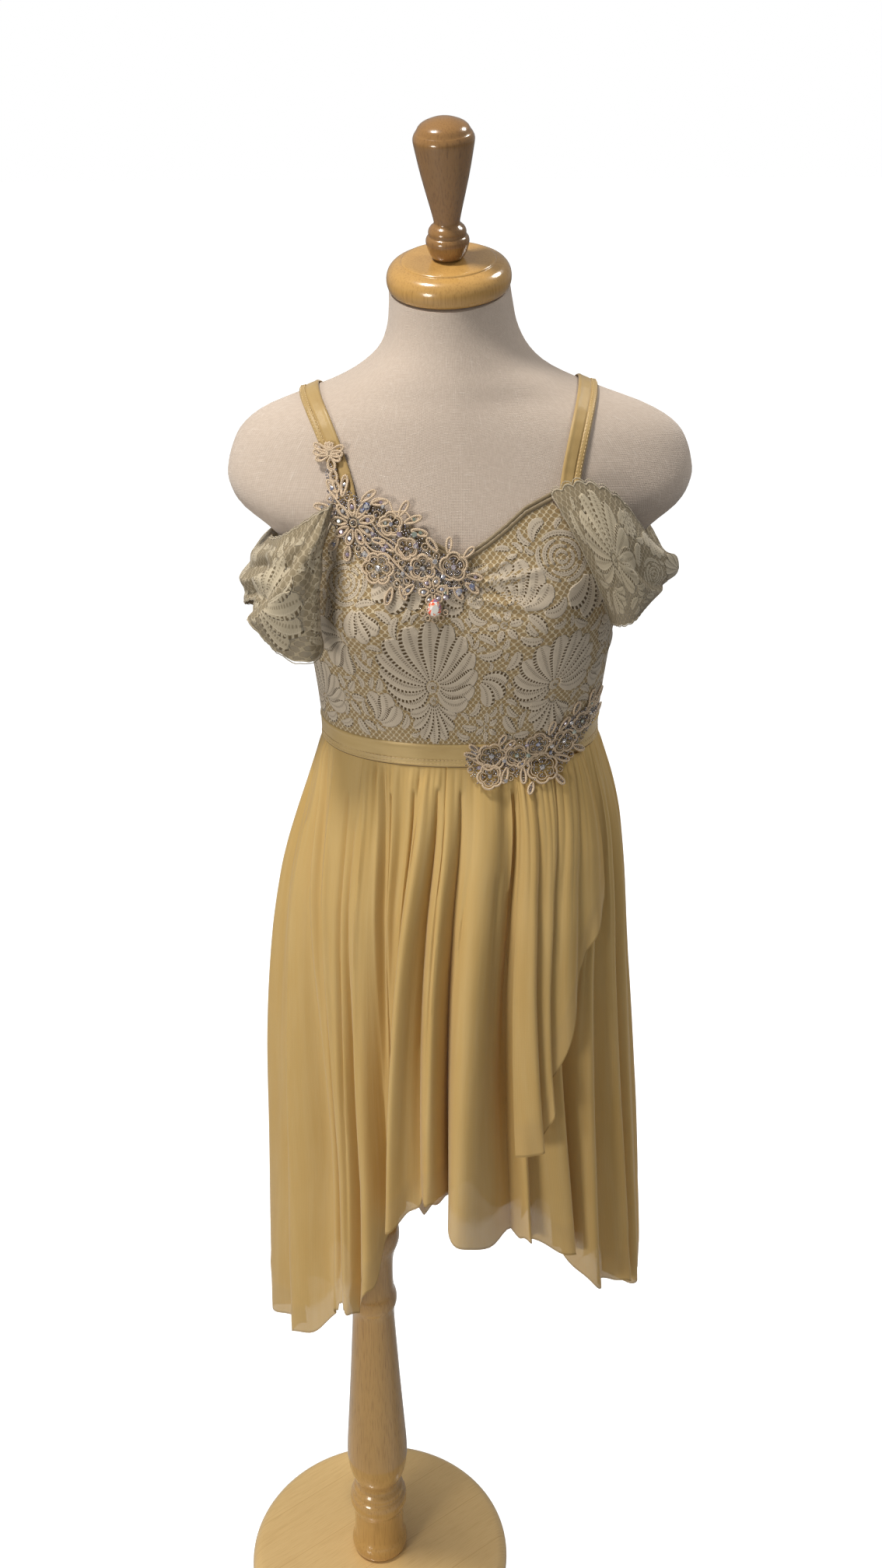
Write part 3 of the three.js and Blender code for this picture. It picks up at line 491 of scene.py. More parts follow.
class Field:
    """A number that varies over a surface. Sums with it add nodes."""

    def __init__(self, tree, socket):
        self.tree, self.socket = tree, socket

    def math(self, operation, *others):
        node = self.tree.nodes.new("ShaderNodeMath")
        node.operation = operation
        for k, value in enumerate((self, *others)):
            if isinstance(value, Field):
                self.tree.links.new(value.socket, node.inputs[k])
            else:
                node.inputs[k].default_value = value
        return Field(self.tree, node.outputs[0])

    def __add__(self, other):
        return self.math("ADD", other)

    def __sub__(self, other):
        return self.math("SUBTRACT", other)

    def __mul__(self, other):
        return self.math("MULTIPLY", other)

    def __truediv__(self, other):
        return self.math("DIVIDE", other)

    def between(self, low, high):
        """A smooth step from 0 at low to 1 at high."""
        node = self.tree.nodes.new("ShaderNodeMapRange")
        node.interpolation_type = "SMOOTHSTEP"
        self.tree.links.new(self.socket, node.inputs["Value"])
        node.inputs["From Min"].default_value = low
        node.inputs["From Max"].default_value = high
        return Field(self.tree, node.outputs["Result"])

    def inverse(self):
        return self.math("MULTIPLY_ADD", -1.0, 1.0)


class Paint:
    """A material and the nodes that colour it. Patterns are in millimetres."""

    def __init__(self, name, **values):
        self.material = bpy.data.materials.new(name)
        self.material.use_nodes = True
        self.tree = self.material.node_tree
        self.shader = self.tree.nodes["Principled BSDF"]
        self.out = self.tree.nodes["Material Output"]
        for socket, value in values.items():
            self.shader.inputs[socket.replace("_", " ")].default_value = value

    def node(self, kind, **settings):
        node = self.tree.nodes.new(kind)
        for key, value in settings.items():
            setattr(node, key, value)
        return node

    def cloth(self):
        """The place on the flat cloth, as two fields in millimetres."""
        node = self.node("ShaderNodeUVMap", uv_map="cloth")
        parts = self.node("ShaderNodeSeparateXYZ")
        self.tree.links.new(node.outputs[0], parts.inputs[0])
        return Field(self.tree, parts.outputs[0]), Field(self.tree, parts.outputs[1])

    def place(self):
        """The place in the piece's own frame, as three fields in millimetres."""
        node = self.node("ShaderNodeTexCoord")
        parts = self.node("ShaderNodeSeparateXYZ")
        self.tree.links.new(node.outputs["Object"], parts.inputs[0])
        return [Field(self.tree, parts.outputs[k]) * (1 / MM) for k in range(3)]

    def vector(self, x=0.0, y=0.0, z=0.0):
        node = self.node("ShaderNodeCombineXYZ")
        for k, value in enumerate((x, y, z)):
            if isinstance(value, Field):
                self.tree.links.new(value.socket, node.inputs[k])
            else:
                node.inputs[k].default_value = value
        return node.outputs[0]

    def noise(self, x, y, z=0.0, detail=2.0, rough=0.5, twist=0.0):
        node = self.node("ShaderNodeTexNoise")
        self.tree.links.new(self.vector(x, y, z), node.inputs["Vector"])
        node.inputs["Scale"].default_value = 1.0
        node.inputs["Detail"].default_value = detail
        node.inputs["Roughness"].default_value = rough
        node.inputs["Distortion"].default_value = twist
        return Field(self.tree, node.outputs["Fac"])

    def cells(self, x, y, z=0.0, feature="F1", loose=1.0):
        node = self.node("ShaderNodeTexVoronoi", feature=feature)
        self.tree.links.new(self.vector(x, y, z), node.inputs["Vector"])
        node.inputs["Scale"].default_value = 1.0
        node.inputs["Randomness"].default_value = loose
        return Field(self.tree, node.outputs["Distance"])

    def blend(self, share, first, second):
        """A colour between two, each a colour or an earlier blend."""
        node = self.node("ShaderNodeMix", data_type="RGBA")
        if isinstance(share, Field):
            self.tree.links.new(share.socket, node.inputs[0])
        else:
            node.inputs[0].default_value = share
        for k, value in ((6, first), (7, second)):
            if isinstance(value, tuple):
                node.inputs[k].default_value = (*value, 1)
            else:
                self.tree.links.new(value, node.inputs[k])
        return node.outputs[2]

    def colour(self, value):
        if isinstance(value, tuple):
            self.shader.inputs["Base Color"].default_value = (*value, 1)
        else:
            self.tree.links.new(value, self.shader.inputs["Base Color"])

    def drive(self, socket, field):
        self.tree.links.new(field.socket, self.shader.inputs[socket])

    def bump(self, height, shader=None):
        """height is in millimetres."""
        node = self.node("ShaderNodeBump")
        node.inputs["Distance"].default_value = MM
        node.inputs["Strength"].default_value = 1.0
        self.tree.links.new(height.socket, node.inputs["Height"])
        for target in (self.shader, *(shader or ())):
            self.tree.links.new(node.outputs[0], target.inputs["Normal"])

    def let_through(self, colour, lit, clear):
        """Mixes in light from behind (lit) and a clear view (clear, a number or a field)."""
        glow = self.node("ShaderNodeBsdfTranslucent")
        if isinstance(colour, tuple):
            glow.inputs["Color"].default_value = (*colour, 1)
        else:
            self.tree.links.new(colour, glow.inputs["Color"])
        first = self.node("ShaderNodeMixShader")
        first.inputs[0].default_value = lit
        self.tree.links.new(self.shader.outputs[0], first.inputs[1])
        self.tree.links.new(glow.outputs[0], first.inputs[2])
        open_air = self.node("ShaderNodeBsdfTransparent")
        second = self.node("ShaderNodeMixShader")
        if isinstance(clear, Field):
            self.tree.links.new(clear.socket, second.inputs[0])
        else:
            second.inputs[0].default_value = clear
        self.tree.links.new(first.outputs[0], second.inputs[1])
        self.tree.links.new(open_air.outputs[0], second.inputs[2])
        self.tree.links.new(second.outputs[0], self.out.inputs["Surface"])
        return glow


def threads(coordinate, pitch):
    """A wave from 0 to 1 across threads of one pitch."""
    return (coordinate * (2 * math.pi / pitch)).math("SINE").math("MULTIPLY_ADD", 0.5, 0.5)


def linen_paint():
    paint = Paint("linen", Roughness=0.92, Sheen_Weight=0.25, Specular_IOR_Level=0.25)
    u, v = paint.cloth()
    warp, weft = threads(u, 1.25), threads(v, 1.15)
    slub_up = paint.noise(u * 0.75, v * 0.07, 3.0, detail=3)
    slub_across = paint.noise(u * 0.08, v * 0.8, 7.0, detail=3)
    cloud = paint.noise(u * 0.011, v * 0.011, detail=2)
    slubs = slub_up.between(0.56, 0.8) + slub_across.between(0.56, 0.8)
    weave = warp * 0.5 + weft * 0.5
    tone = paint.blend(cloud, rgb(200, 185, 171), rgb(212, 198, 185))
    grain = paint.noise(u * 0.42, v * 0.3, 11.0, detail=1).between(0.35, 0.65)
    tone = paint.blend(grain * 0.24, tone, rgb(176, 160, 145))
    tone = paint.blend(slubs * 0.45, tone, rgb(236, 226, 216))
    paint.colour(paint.blend(weave.inverse() * 0.42, tone, rgb(160, 143, 128)))
    paint.bump(weave * 0.14 + slubs * 0.1)
    return paint.material


def wood_paint(name, pale, dark, size, across=False, gloss=0.16):
    """Varnished wood. The grain runs up, or in planks across the disc."""
    paint = Paint(name, Roughness=gloss, Coat_Weight=0.7, Coat_Roughness=0.06,
                  Specular_IOR_Level=0.5)
    x, y, z = paint.place()
    if across:
        turn = 38 * RAD
        along = x * math.cos(turn) + y * math.sin(turn)
        side = y * math.cos(turn) - x * math.sin(turn)
        plank = (side / 58 + 0.31).math("FLOOR")
        shift = (plank * 12.9898).math("SINE") * 37
        grain = paint.noise(along * 0.008 + shift, side * 0.16, plank * 5.3, detail=4, twist=0.6)
        fibre = paint.noise(along * 0.05 + shift, side * 1.5, plank, detail=3)
        tint = (plank * 78.233).math("SINE").math("MULTIPLY_ADD", 0.5, 0.5)
        line = (side / 58 + 0.31).math("FRACT").math("SUBTRACT", 0.5).math("ABSOLUTE")
        joint = line.between(0.491, 0.5)
    else:
        bend = paint.noise(x * 0.012, y * 0.012, z * 0.004, detail=2)
        rings = ((x * 0.8 + y * 0.55) / size + bend * 2.4 + z * 0.0016)
        grain = paint.noise(rings, y * 0.02, z * 0.0035, detail=4, twist=0.35)
        fibre = paint.noise(x * 0.9, y * 0.9, z * 0.03, detail=3)
        tint = paint.noise(x * 0.01, y * 0.01, z * 0.006)
        joint = None
    band = (grain * 9.0).math("SINE").math("MULTIPLY_ADD", 0.5, 0.5)
    colour = paint.blend(band * 0.55, pale, mid_of(pale, dark, 0.45))
    colour = paint.blend(fibre.between(0.45, 0.8) * 0.5, colour, dark)
    colour = paint.blend(tint * 0.35, colour, mid_of(pale, dark, 0.3))
    if joint is not None:
        colour = paint.blend(joint * 0.6, colour, dark)
    paint.colour(colour)
    rough = fibre * 0.1 + (gloss + 0.02)
    paint.drive("Roughness", rough)
    paint.bump(fibre * 0.02 + band * 0.01)
    return paint.material


def mid_of(first, second, share):
    return tuple(mix(a, b, share) for a, b in zip(first, second))


def honeycomb(paint, u, v, width, height):
    """0 in the middle of each cell of a net of long hexagons, 0.5 on its threads."""
    def lattice(shift):
        x = (u / width + shift).math("FRACT").math("SUBTRACT", 0.5).math("ABSOLUTE")
        y = (v / (2 * height) + shift).math("FRACT").math("SUBTRACT", 0.5).math("ABSOLUTE")
        slant = x * 0.55 + y * 1.05
        return slant.math("MAXIMUM", x)
    return lattice(0.0).math("MINIMUM", lattice(0.5))


GOLD_LINING = rgb(150, 124, 78)
LACE_GREY = rgb(184, 169, 147)


def lace_paint(name, lining, thread_dim, thread_pale, open_share):
    """Stretch lace over a lining: a net of long cells. open_share lets light through the
    holes where there is no lining."""
    paint = Paint(name, Roughness=0.88, Sheen_Weight=0.2, Specular_IOR_Level=0.25)
    u, v = paint.cloth()
    wander_u = paint.noise(u * 0.05, v * 0.05, 1.5) * 5.0
    wander_v = paint.noise(u * 0.05, v * 0.05, 9.5) * 5.0
    cell = honeycomb(paint, u + wander_u, v + wander_v, 6.0, 2.8)
    hole = cell.between(0.31, 0.37).inverse()
    cloud = paint.noise(u * 0.03, v * 0.03, detail=3)
    fuzz = paint.noise(u * 1.6, v * 1.1, detail=3)
    thread = paint.blend(fuzz, thread_dim, thread_pale)
    shaded = paint.blend(cloud, lining, mid_of(lining, LACE_GREY, 0.35))
    colour = paint.blend(hole, thread, shaded)
    paint.colour(colour)
    paint.bump(hole.inverse() * 0.35 + fuzz * 0.1)
    if open_share:
        paint.let_through(colour, 0.25, hole * open_share)
    return paint.material


def motif_paint(name, grey, pale, gap):
    """The close parts of the lace: fine ribs, a row of eyelets between one petal and the next,
    a fainter one down the middle, and a bright thread beside them. The eyelets are painted in the
    gap colour, painted shade of the holes. The map holds the place along the petal in millimetres,
    and the place across it, from -1 to 1."""
    paint = Paint(name, Roughness=0.9, Sheen_Weight=0.25, Specular_IOR_Level=0.25)
    u, v = paint.cloth()
    eyelet = threads(u, 2.9).between(0.3, 0.5)
    row = v.between(0.58, 0.66) * v.between(0.93, 0.98).inverse()
    middle = v.between(-0.26, -0.16) * v.between(0.04, 0.14).inverse()
    pinhole = threads(u + 0.7, 1.9).between(0.35, 0.6) * middle * 0.55
    hole = (eyelet * row).math("MAXIMUM", pinhole)
    thread = v.between(0.44, 0.5) * v.between(0.56, 0.62).inverse()
    twill = threads(u + v * 1.5, 0.9)
    fuzz = paint.noise(u * 1.1, v * 4.0, detail=3)
    patch = paint.noise(u * 0.16, v * 0.7, 5.0, detail=2)
    cloth = paint.blend(fuzz * 0.5 + patch * 0.5, grey, pale)
    # the ribs take a darker tone, part way to the eyelets' painted shade colour
    cloth = paint.blend(twill * 0.25, cloth, mid_of(grey, gap, 0.35))
    cloth = paint.blend(thread * 0.25, cloth, rgb(236, 224, 200))
    # painted shade: the eyelet holes take the dark gap colour, the shade inside them
    paint.colour(paint.blend(hole, cloth, gap))
    paint.bump(hole.inverse() * 0.2 + twill * 0.06 + fuzz * 0.12)
    return paint.material


def satin_paint(name, tone, deep):
    """Spandex with a soft satin face: fine ribs, a broad sheen."""
    paint = Paint(name, Roughness=0.42, Sheen_Weight=0.35, Sheen_Roughness=0.4,
                  Specular_IOR_Level=0.45)
    u, v = paint.cloth()
    rib = threads(v, 0.6)
    cloud = paint.noise(u * 0.03, v * 0.12, detail=3)
    fine = paint.noise(u * 0.4, v * 1.8, detail=3)
    colour = paint.blend(cloud, deep, tone)
    colour = paint.blend(rib * 0.15, colour, deep)
    paint.colour(colour)
    paint.drive("Roughness", fine * 0.2 + 0.34)
    paint.bump(rib * 0.03 + fine * 0.08)
    return paint.material


MESH_TONE = rgb(236, 208, 144)
MESH_DEEP = rgb(224, 190, 116)


def mesh_paint(clear):
    """Sheer stretch mesh in layers: a fine grid, crinkles along the fall, thinner at the hem,
    where the layer under it has ended. The map's second number is the height over the hem."""
    paint = Paint("stretch_mesh", Roughness=0.62, Sheen_Weight=0.4, Sheen_Roughness=0.35,
                  Specular_IOR_Level=0.3)
    u, v = paint.cloth()
    grid = threads(u, 1.1) * 0.5 + threads(v, 1.1) * 0.5
    crinkle = paint.noise(u * 0.15, v * 0.01, detail=4, rough=0.55)
    cloud = paint.noise(u * 0.02, v * 0.008, 4.0, detail=2)
    wander = paint.noise(u * 0.02, 3.0, detail=2) * 26
    thin = (v - wander).between(12, 26).inverse()
    edge = v.between(1.0, 3.0).inverse()
    tone = paint.blend(cloud, MESH_DEEP, MESH_TONE)
    tone = paint.blend(crinkle.between(0.35, 0.75) * 0.3, tone, rgb(240, 218, 162))
    tone = paint.blend(grid * 0.14, tone, rgb(186, 150, 84))
    tone = paint.blend(thin * 0.3, tone, rgb(228, 202, 148))
    tone = paint.blend(edge * 0.5, tone, rgb(160, 128, 74))
    paint.colour(tone)
    paint.bump(crinkle * 0.35 + grid * 0.03)
    paint.let_through(tone, 0.3, thin * 0.1 + clear)
    return paint.material


def cord_paint():
    paint = Paint("lace_cord", Roughness=0.6, Sheen_Weight=0.3, Specular_IOR_Level=0.4)
    u, v = paint.cloth()
    twist = threads(u + v * 0.35, 1.3)
    colour = paint.blend(twist, rgb(174, 150, 122), rgb(228, 206, 176))
    paint.colour(colour)
    paint.bump(twist * 0.12)
    return paint.material


def thread_paint():
    paint = Paint("stitch_thread", Roughness=0.5, Sheen_Weight=0.3, Specular_IOR_Level=0.45)
    u, v = paint.cloth()
    twist = threads(u + v, 0.5)
    paint.colour(paint.blend(twist, rgb(190, 160, 104), rgb(226, 200, 148)))
    return paint.material


STONE_HUES = [rgb(196, 194, 198), rgb(150, 160, 198), rgb(184, 162, 192), rgb(164, 186, 166)]


def stone_paint():
    """Foiled rhinestones with a coloured coat. The map holds the painted light of the facets, 0 to 1,
    and the number of the stone's hue: high values are painted glints, low ones painted dark reflections."""
    paint = Paint("rhinestone", Metallic=0.75, Roughness=0.08, Coat_Weight=1.0,
                  Coat_Roughness=0.03, Specular_IOR_Level=0.8)
    painted_facet_light, hue = paint.cloth()
    tone = STONE_HUES[0]
    for k, next_tone in enumerate(STONE_HUES[1:]):
        tone = paint.blend(hue.between(k + 0.45, k + 0.55), tone, next_tone)
    # painted highlight: high values make facets near white, as glints
    tone = paint.blend(painted_facet_light.between(0.55, 1.0), tone, rgb(255, 250, 245))
    # painted shade: low values make facets dark, as dark reflections
    paint.colour(paint.blend(painted_facet_light.between(0.0, 0.45).inverse() * 0.75, tone, rgb(52, 48, 60)))
    return paint.material


def bead_paint():
    """Tiny glass beads, grey with a violet and green cast that changes from bead to bead."""
    paint = Paint("seed_bead", Metallic=0.55, Roughness=0.2, Coat_Weight=0.8,
                  Coat_Roughness=0.05)
    tint, hue = paint.cloth()
    tone = paint.blend(tint, rgb(96, 88, 92), rgb(196, 190, 190))
    tone = paint.blend(hue.between(0.6, 0.8) * 0.3, tone, rgb(150, 158, 190))
    paint.colour(paint.blend(hue.between(0.2, 0.0) * 0.5, tone, rgb(150, 160, 130)))
    return paint.material


# ---------------------------------------------------------------- camera, light and floor
IMAGE_HEIGHT = 2016
FOCAL_PIXELS = 2000
AMBIENT = 0.26
FLOOR_GLOW = 1.0
# name, place, aim, width, power, colour
LAMPS = [
    ("key", (-0.75, -0.44, 3.1), (0.08, 0, 0.95), 0.35, 44, (1, 0.95, 0.88)),
    ("side", (1.3, 0.5, 2.6), (0.08, 0, 0.9), 0.6, 14, (1, 0.96, 0.9)),
    ("front", (-1.5, -1.95, 1.1), (0.08, 0, 0.6), 0.7, 21, (1, 0.95, 0.88)),
]


def camera():
    data = bpy.data.cameras.new("camera")
    data.sensor_fit = "VERTICAL"
    data.sensor_width = data.sensor_height = 36
    data.lens = 36 * FOCAL_PIXELS / IMAGE_HEIGHT
    data.clip_start, data.clip_end = 0.05, 50
    thing = bpy.data.objects.new("camera", data)
    tilt = Matrix.Rotation((90 - 23.933) * RAD, 4, "X")
    roll = Matrix.Rotation(-0.299 * RAD, 4, "Z")
    thing.matrix_world = Matrix.Translation((0.07171, -1.23145, 1.4865)) @ tilt @ roll
    bpy.context.scene.collection.objects.link(thing)
    bpy.context.scene.camera = thing


def lamp(name, place_at, aim, size, power, colour=(1, 1, 1)):
    data = bpy.data.lights.new(name, "AREA")
    data.shape = "DISK"
    data.size = size
    data.energy = power
    data.color = colour
    thing = bpy.data.objects.new(name, data)
    direction = Matrix.Translation(place_at).to_translation() - Matrix.Translation(aim).to_translation()
    thing.matrix_world = Matrix.Translation(place_at) @ direction.to_track_quat("Z", "Y").to_matrix().to_4x4()
    bpy.context.scene.collection.objects.link(thing)


def camera_only(tree, seen, unseen):
    """A strength that the camera sees, and another that lights the scene."""
    path = tree.nodes.new("ShaderNodeLightPath")
    choose = tree.nodes.new("ShaderNodeMapRange")
    tree.links.new(path.outputs["Is Camera Ray"], choose.inputs["Value"])
    choose.inputs["To Min"].default_value = unseen
    choose.inputs["To Max"].default_value = seen
    return choose.outputs["Result"]


def studio():
    scene = bpy.context.scene
    scene.view_settings.view_transform = "Standard"
    world = bpy.data.worlds.new("studio")
    world.use_nodes = True
    tree = world.node_tree
    sky = tree.nodes["Background"]
    sky.inputs[0].default_value = (1, 1, 1, 1)
    tree.links.new(camera_only(tree, 1.0, AMBIENT), sky.inputs[1])
    scene.world = world
    for row in LAMPS:
        lamp(*row)
    floor = Paint("floor", Roughness=0.9, Specular_IOR_Level=0.1)
    floor.colour((0.55, 0.55, 0.55))
    floor.shader.inputs["Emission Color"].default_value = (1, 1, 1, 1)
    strength = floor.shader.inputs["Emission Strength"]
    floor.tree.links.new(camera_only(floor.tree, FLOOR_GLOW, 0.0), strength)
    size = 30
    mesh = bpy.data.meshes.new("floor")
    mesh.from_pydata([(-size, -size, 0), (size, -size, 0), (size, size, 0), (-size, size, 0)],
                     [], [(0, 1, 2, 3)])
    mesh.materials.append(floor.material)
    thing = bpy.data.objects.new("floor", mesh)
    thing.location.z = -0.0005
    scene.collection.objects.link(thing)


camera()
studio()


# ---------------------------------------------------------------- dress form
def dress_form():
    honey = wood_paint("honey_wood", rgb(198, 156, 90), rgb(122, 80, 34), 26)
    deep = wood_paint("finial_wood", rgb(150, 112, 66), rgb(84, 54, 26), 20)
    planks = wood_paint("plank_wood", rgb(236, 202, 140), rgb(198, 154, 90), 40, across=True,
                        gloss=0.28)
    place(lathe("base_disc", BASE_PROFILE, BASE_HEIGHT, 128, planks), "varnished_wood", "base")
    place(lathe("turned_post", POST_PROFILE, POST_TOP, 72, honey), "varnished_wood", "post")
    end = (Matrix.Translation(((TORSO_X - 8) * MM, NECK_Y * MM, NECK_TOP * MM))
           @ Matrix.Rotation(CAP_TILT * RAD, 4, "X") @ Matrix.Rotation(-CAP_LEAN * RAD, 4, "Y"))
    cap_at = end @ Matrix.Translation((0, 0, SEAM * MM))
    finial_at = end @ Matrix.Translation((0, 0, (CAP_HEIGHT + 2 * SEAM) * MM))
    cap = lathe("neck_disc", CAP_PROFILE, CAP_HEIGHT, 96, honey, cap_at)
    place(cap, "varnished_wood", "neck_cap")
    knob = lathe("turned_finial", FINIAL_PROFILE, FINIAL_HEIGHT, 64, deep, finial_at)
    place(knob, "varnished_wood", "finial")
    place(torso_body(), "linen", "torso")


def torso_body():
    """The linen cover, pulled smooth, closed below and at the sloping end of the neck."""
    columns = 160
    heights = np.concatenate([np.linspace(745, 768, 8)[:-1], np.linspace(768, 1352.5, 130)])
    angles = 360 * np.arange(columns) / columns
    grid = torso_point(angles[:, None], heights[None, :])
    share = ramp((heights - NECK_ROOT) / (NECK_TOP - NECK_ROOT))[None, :]
    middle = TORSO_X + smooth(TORSO_RINGS, 1, heights)[None, :]
    grid[..., 2] += share * math.tan(CAP_TILT * RAD) * (grid[..., 1] - NECK_Y)
    grid[..., 2] += share * math.tan(CAP_LEAN * RAD) * (grid[..., 0] - middle)
    rows = len(heights)
    points = np.concatenate([
        grid.transpose(1, 0, 2).reshape(-1, 3),
        [(TORSO_X, 0, TORSO_BOTTOM), (TORSO_X - 8, NECK_Y, NECK_TOP)],
    ])
    uv = flat_uv(grid, closed=True)
    faces, maps = [], []
    for j in range(rows - 1):
        for i in range(columns):
            n = (i + 1) % columns
            faces.append((j * columns + i, j * columns + n,
                          (j + 1) * columns + n, (j + 1) * columns + i))
            maps += [uv[i, j], uv[i + 1, j], uv[i + 1, j + 1], uv[i, j + 1]]
    bottom, crown = rows * columns, rows * columns + 1
    last = (rows - 1) * columns
    for i in range(columns):
        n = (i + 1) % columns
        faces += [(n, i, bottom), (last + i, last + n, crown)]
        maps += [uv[i + 1, 0], uv[i, 0], (uv[i, 0] + (0, 90))]
        maps += [uv[i, -1], uv[i + 1, -1], (uv[i, -1] + (0, 40))]
    return make_mesh("linen_torso", points, faces, np.array(maps), linen_paint(), sharp=60)


dress_form()


# ---------------------------------------------------------------- skirt
MESH = mesh_paint(0.12)
HALF_FRONT = 8.5             # folds from the front panel's middle to each of its seams


def fold_column(k, i):
    """Column k of fold i, which counts on round the skirt."""
    values = np.array([row[k] for row in FOLDS], float)
    turns = i // len(FOLDS)
    value = values[i - turns * len(FOLDS)]
    return value + 360 * turns if k < 2 else value


def gathers(s, drop, seed):
    """Small uneven pleats that start at the waist seam and run out into the big folds."""
    draw = random.Random(seed)
    total = np.zeros(np.broadcast(s, drop).shape)
    for per_fold, height, life in ((1.3, 3.4, 100), (2.3, 2.4, 50), (4.1, 1.5, 26)):
        phase, sway, slide = draw.random() * 6, draw.random() * 6, draw.uniform(-0.5, 0.5)
        wave = per_fold * s + 0.35 * np.sin(1.7 * s + phase) + 0.3 * np.sin(0.61 * s + sway)
        wave = wave + slide * drop / 220
        crest = 1 - np.abs(np.sin(math.pi * wave)) ** 1.3
        strength = height * np.exp(-drop / life) * ramp((drop + 3) / 16)
        strength = strength * (0.65 + 0.35 * np.sin(2.3 * s + sway))
        total = total - crest * strength + 0.5 * strength
    return total


# Creases between the main folds: place in folds at the top and the bottom, where it starts and
# ends down the skirt as shares of its length, width in folds, height (minus is a trough).
FRONT_CREASES = [
    (4.0, 4.0, 0.1, 1.0, 0.1, -4.0),
    (5.98, 5.95, 0.06, 1.0, 0.11, -5.5),
    (7.0, 6.98, 0.05, 1.0, 0.1, -5.0),
    (8.02, 8.0, 0.04, 1.0, 0.1, -5.0),
    (9.0, 9.02, 0.05, 0.9, 0.08, -4.0),
    (9.97, 10.0, 0.05, 1.0, 0.09, -5.5),
    (11.0, 11.0, 0.1, 1.0, 0.1, -4.0),
    (0.75, 0.62, 0.05, 0.9, 0.11, -5.0),
    (1.42, 1.55, 0.12, 1.0, 0.1, 3.6),
    (1.9, 1.84, 0.08, 1.0, 0.1, -5.0),
    (2.6, 2.7, 0.05, 1.0, 0.1, -5.5),
    (3.2, 3.1, 0.04, 1.0, 0.1, 3.4),
    (3.62, 3.6, 0.06, 1.0, 0.1, -5.0),
    (4.45, 4.3, 0.05, 0.75, 0.08, 2.0),
    (7.3, 7.22, 0.05, 0.7, 0.06, -2.6),
    (7.85, 7.8, 0.25, 1.0, 0.06, -1.8),
    (8.35, 8.45, 0.0, 0.8, 0.06, -2.4),
    (9.22, 9.3, 0.0, 0.55, 0.035, -2.6),
    (9.7, 9.78, 0.2, 1.0, 0.04, -2.4),
    (9.88, 9.9, 0.0, 0.6, 0.03, 2.0),
    (12.6, 12.5, 0.1, 0.9, 0.1, -1.6),
    (13.5, 13.3, 0.1, 1.0, 0.06, -2.4),
    (14.3, 14.45, 0.0, 0.9, 0.06, 2.0),
    (15.6, 15.5, 0.2, 1.0, 0.07, -2.2),
    (16.4, 16.55, 0.0, 0.8, 0.08, 2.0),
]
BACK_CREASES = [
    (17.8, 17.7, 0.1, 0.9, 0.06, -2.4),
    (18.35, 18.5, 0.0, 0.7, 0.07, 2.2),
    (19.3, 19.2, 0.25, 1.0, 0.06, -2.6),
    (19.7, 19.75, 0.0, 0.85, 0.05, 2.0),
    (20.5, 20.35, 0.1, 1.0, 0.06, -2.6),
    (21.2, 21.3, 0.0, 0.6, 0.05, -2.2),
    (21.65, 21.55, 0.3, 1.0, 0.06, 2.4),
    (22.4, 22.55, 0.05, 0.9, 0.07, -2.6),
    (23.25, 23.15, 0.15, 1.0, 0.06, 2.0),
    (23.7, 23.8, 0.0, 0.7, 0.05, -2.4),
    (24.55, 24.4, 0.1, 1.0, 0.07, -2.4),
    (25.3, 25.45, 0.0, 0.8, 0.06, 2.4),
    (25.8, 25.7, 0.3, 1.0, 0.06, -2.2),
]


def creases(table, s, v):
    total = np.zeros(np.broadcast(s, v).shape)
    for top, low, start, end, width, height in table:
        along = np.clip((v - start) / (end - start), 0, 1)
        middle = mix(top, low, v) + 0.04 * np.sin(5 * v + 9 * top)
        fade = np.sin(math.pi * np.clip(0.08 + 0.9 * along, 0, 1)) ** 0.6
        fade = fade * ((v >= start) & (v <= end))
        total = total + height * fade * hump(s - middle, width * (0.6 + 0.8 * v))
    return total


def skirt_point(s, v, table):
    """s counts folds round the skirt, v runs from the waist (0) to the hem (1)."""
    s, v = np.broadcast_arrays(s, v)
    i = np.floor(s).astype(int)
    p = s - i
    waist, hem, rise, sink, lean = (fold_column(k, i) for k in range(5))
    next_waist, next_hem, next_sink = (fold_column(k, i + 1) for k in (0, 1, 3))
    settle = 1 - (1 - v) ** 3
    foot = mix(waist, hem, settle)
    next_foot = mix(next_waist, next_hem, settle)
    arch = np.sin(math.pi * p)
    angle = mix(foot, next_foot, p) + lean * v * (next_foot - foot) * arch / 2
    hem_z = smooth(HEM, 1, wrap(mix(hem, next_hem, p)))
    flutter = 2.2 * np.sin(7.3 * s + 1.3 * np.sin(2.1 * s)) + 1.4 * np.sin(17.1 * s)
    z = mix(SKIRT_TOP, hem_z + flutter, v)
    drop = SKIRT_TOP - z
    sunk = -mix(sink, next_sink, ramp(p)) * ramp((drop - SINK_FROM) / (SINK_TO - SINK_FROM))
    risen = rise * (1 - np.exp(-drop / RISE_LENGTH))
    out = sunk + (risen - sunk) * arch ** CREST_SHARPNESS
    out = out + gathers(s, drop, 11) + creases(table, s, v)
    lip = 1.5 * np.sin(11.3 * s + 2.0 * np.sin(3.1 * s)) * ramp((v - 0.93) / 0.07)
    return around(SKIRT_RINGS, angle, z, out + lip)


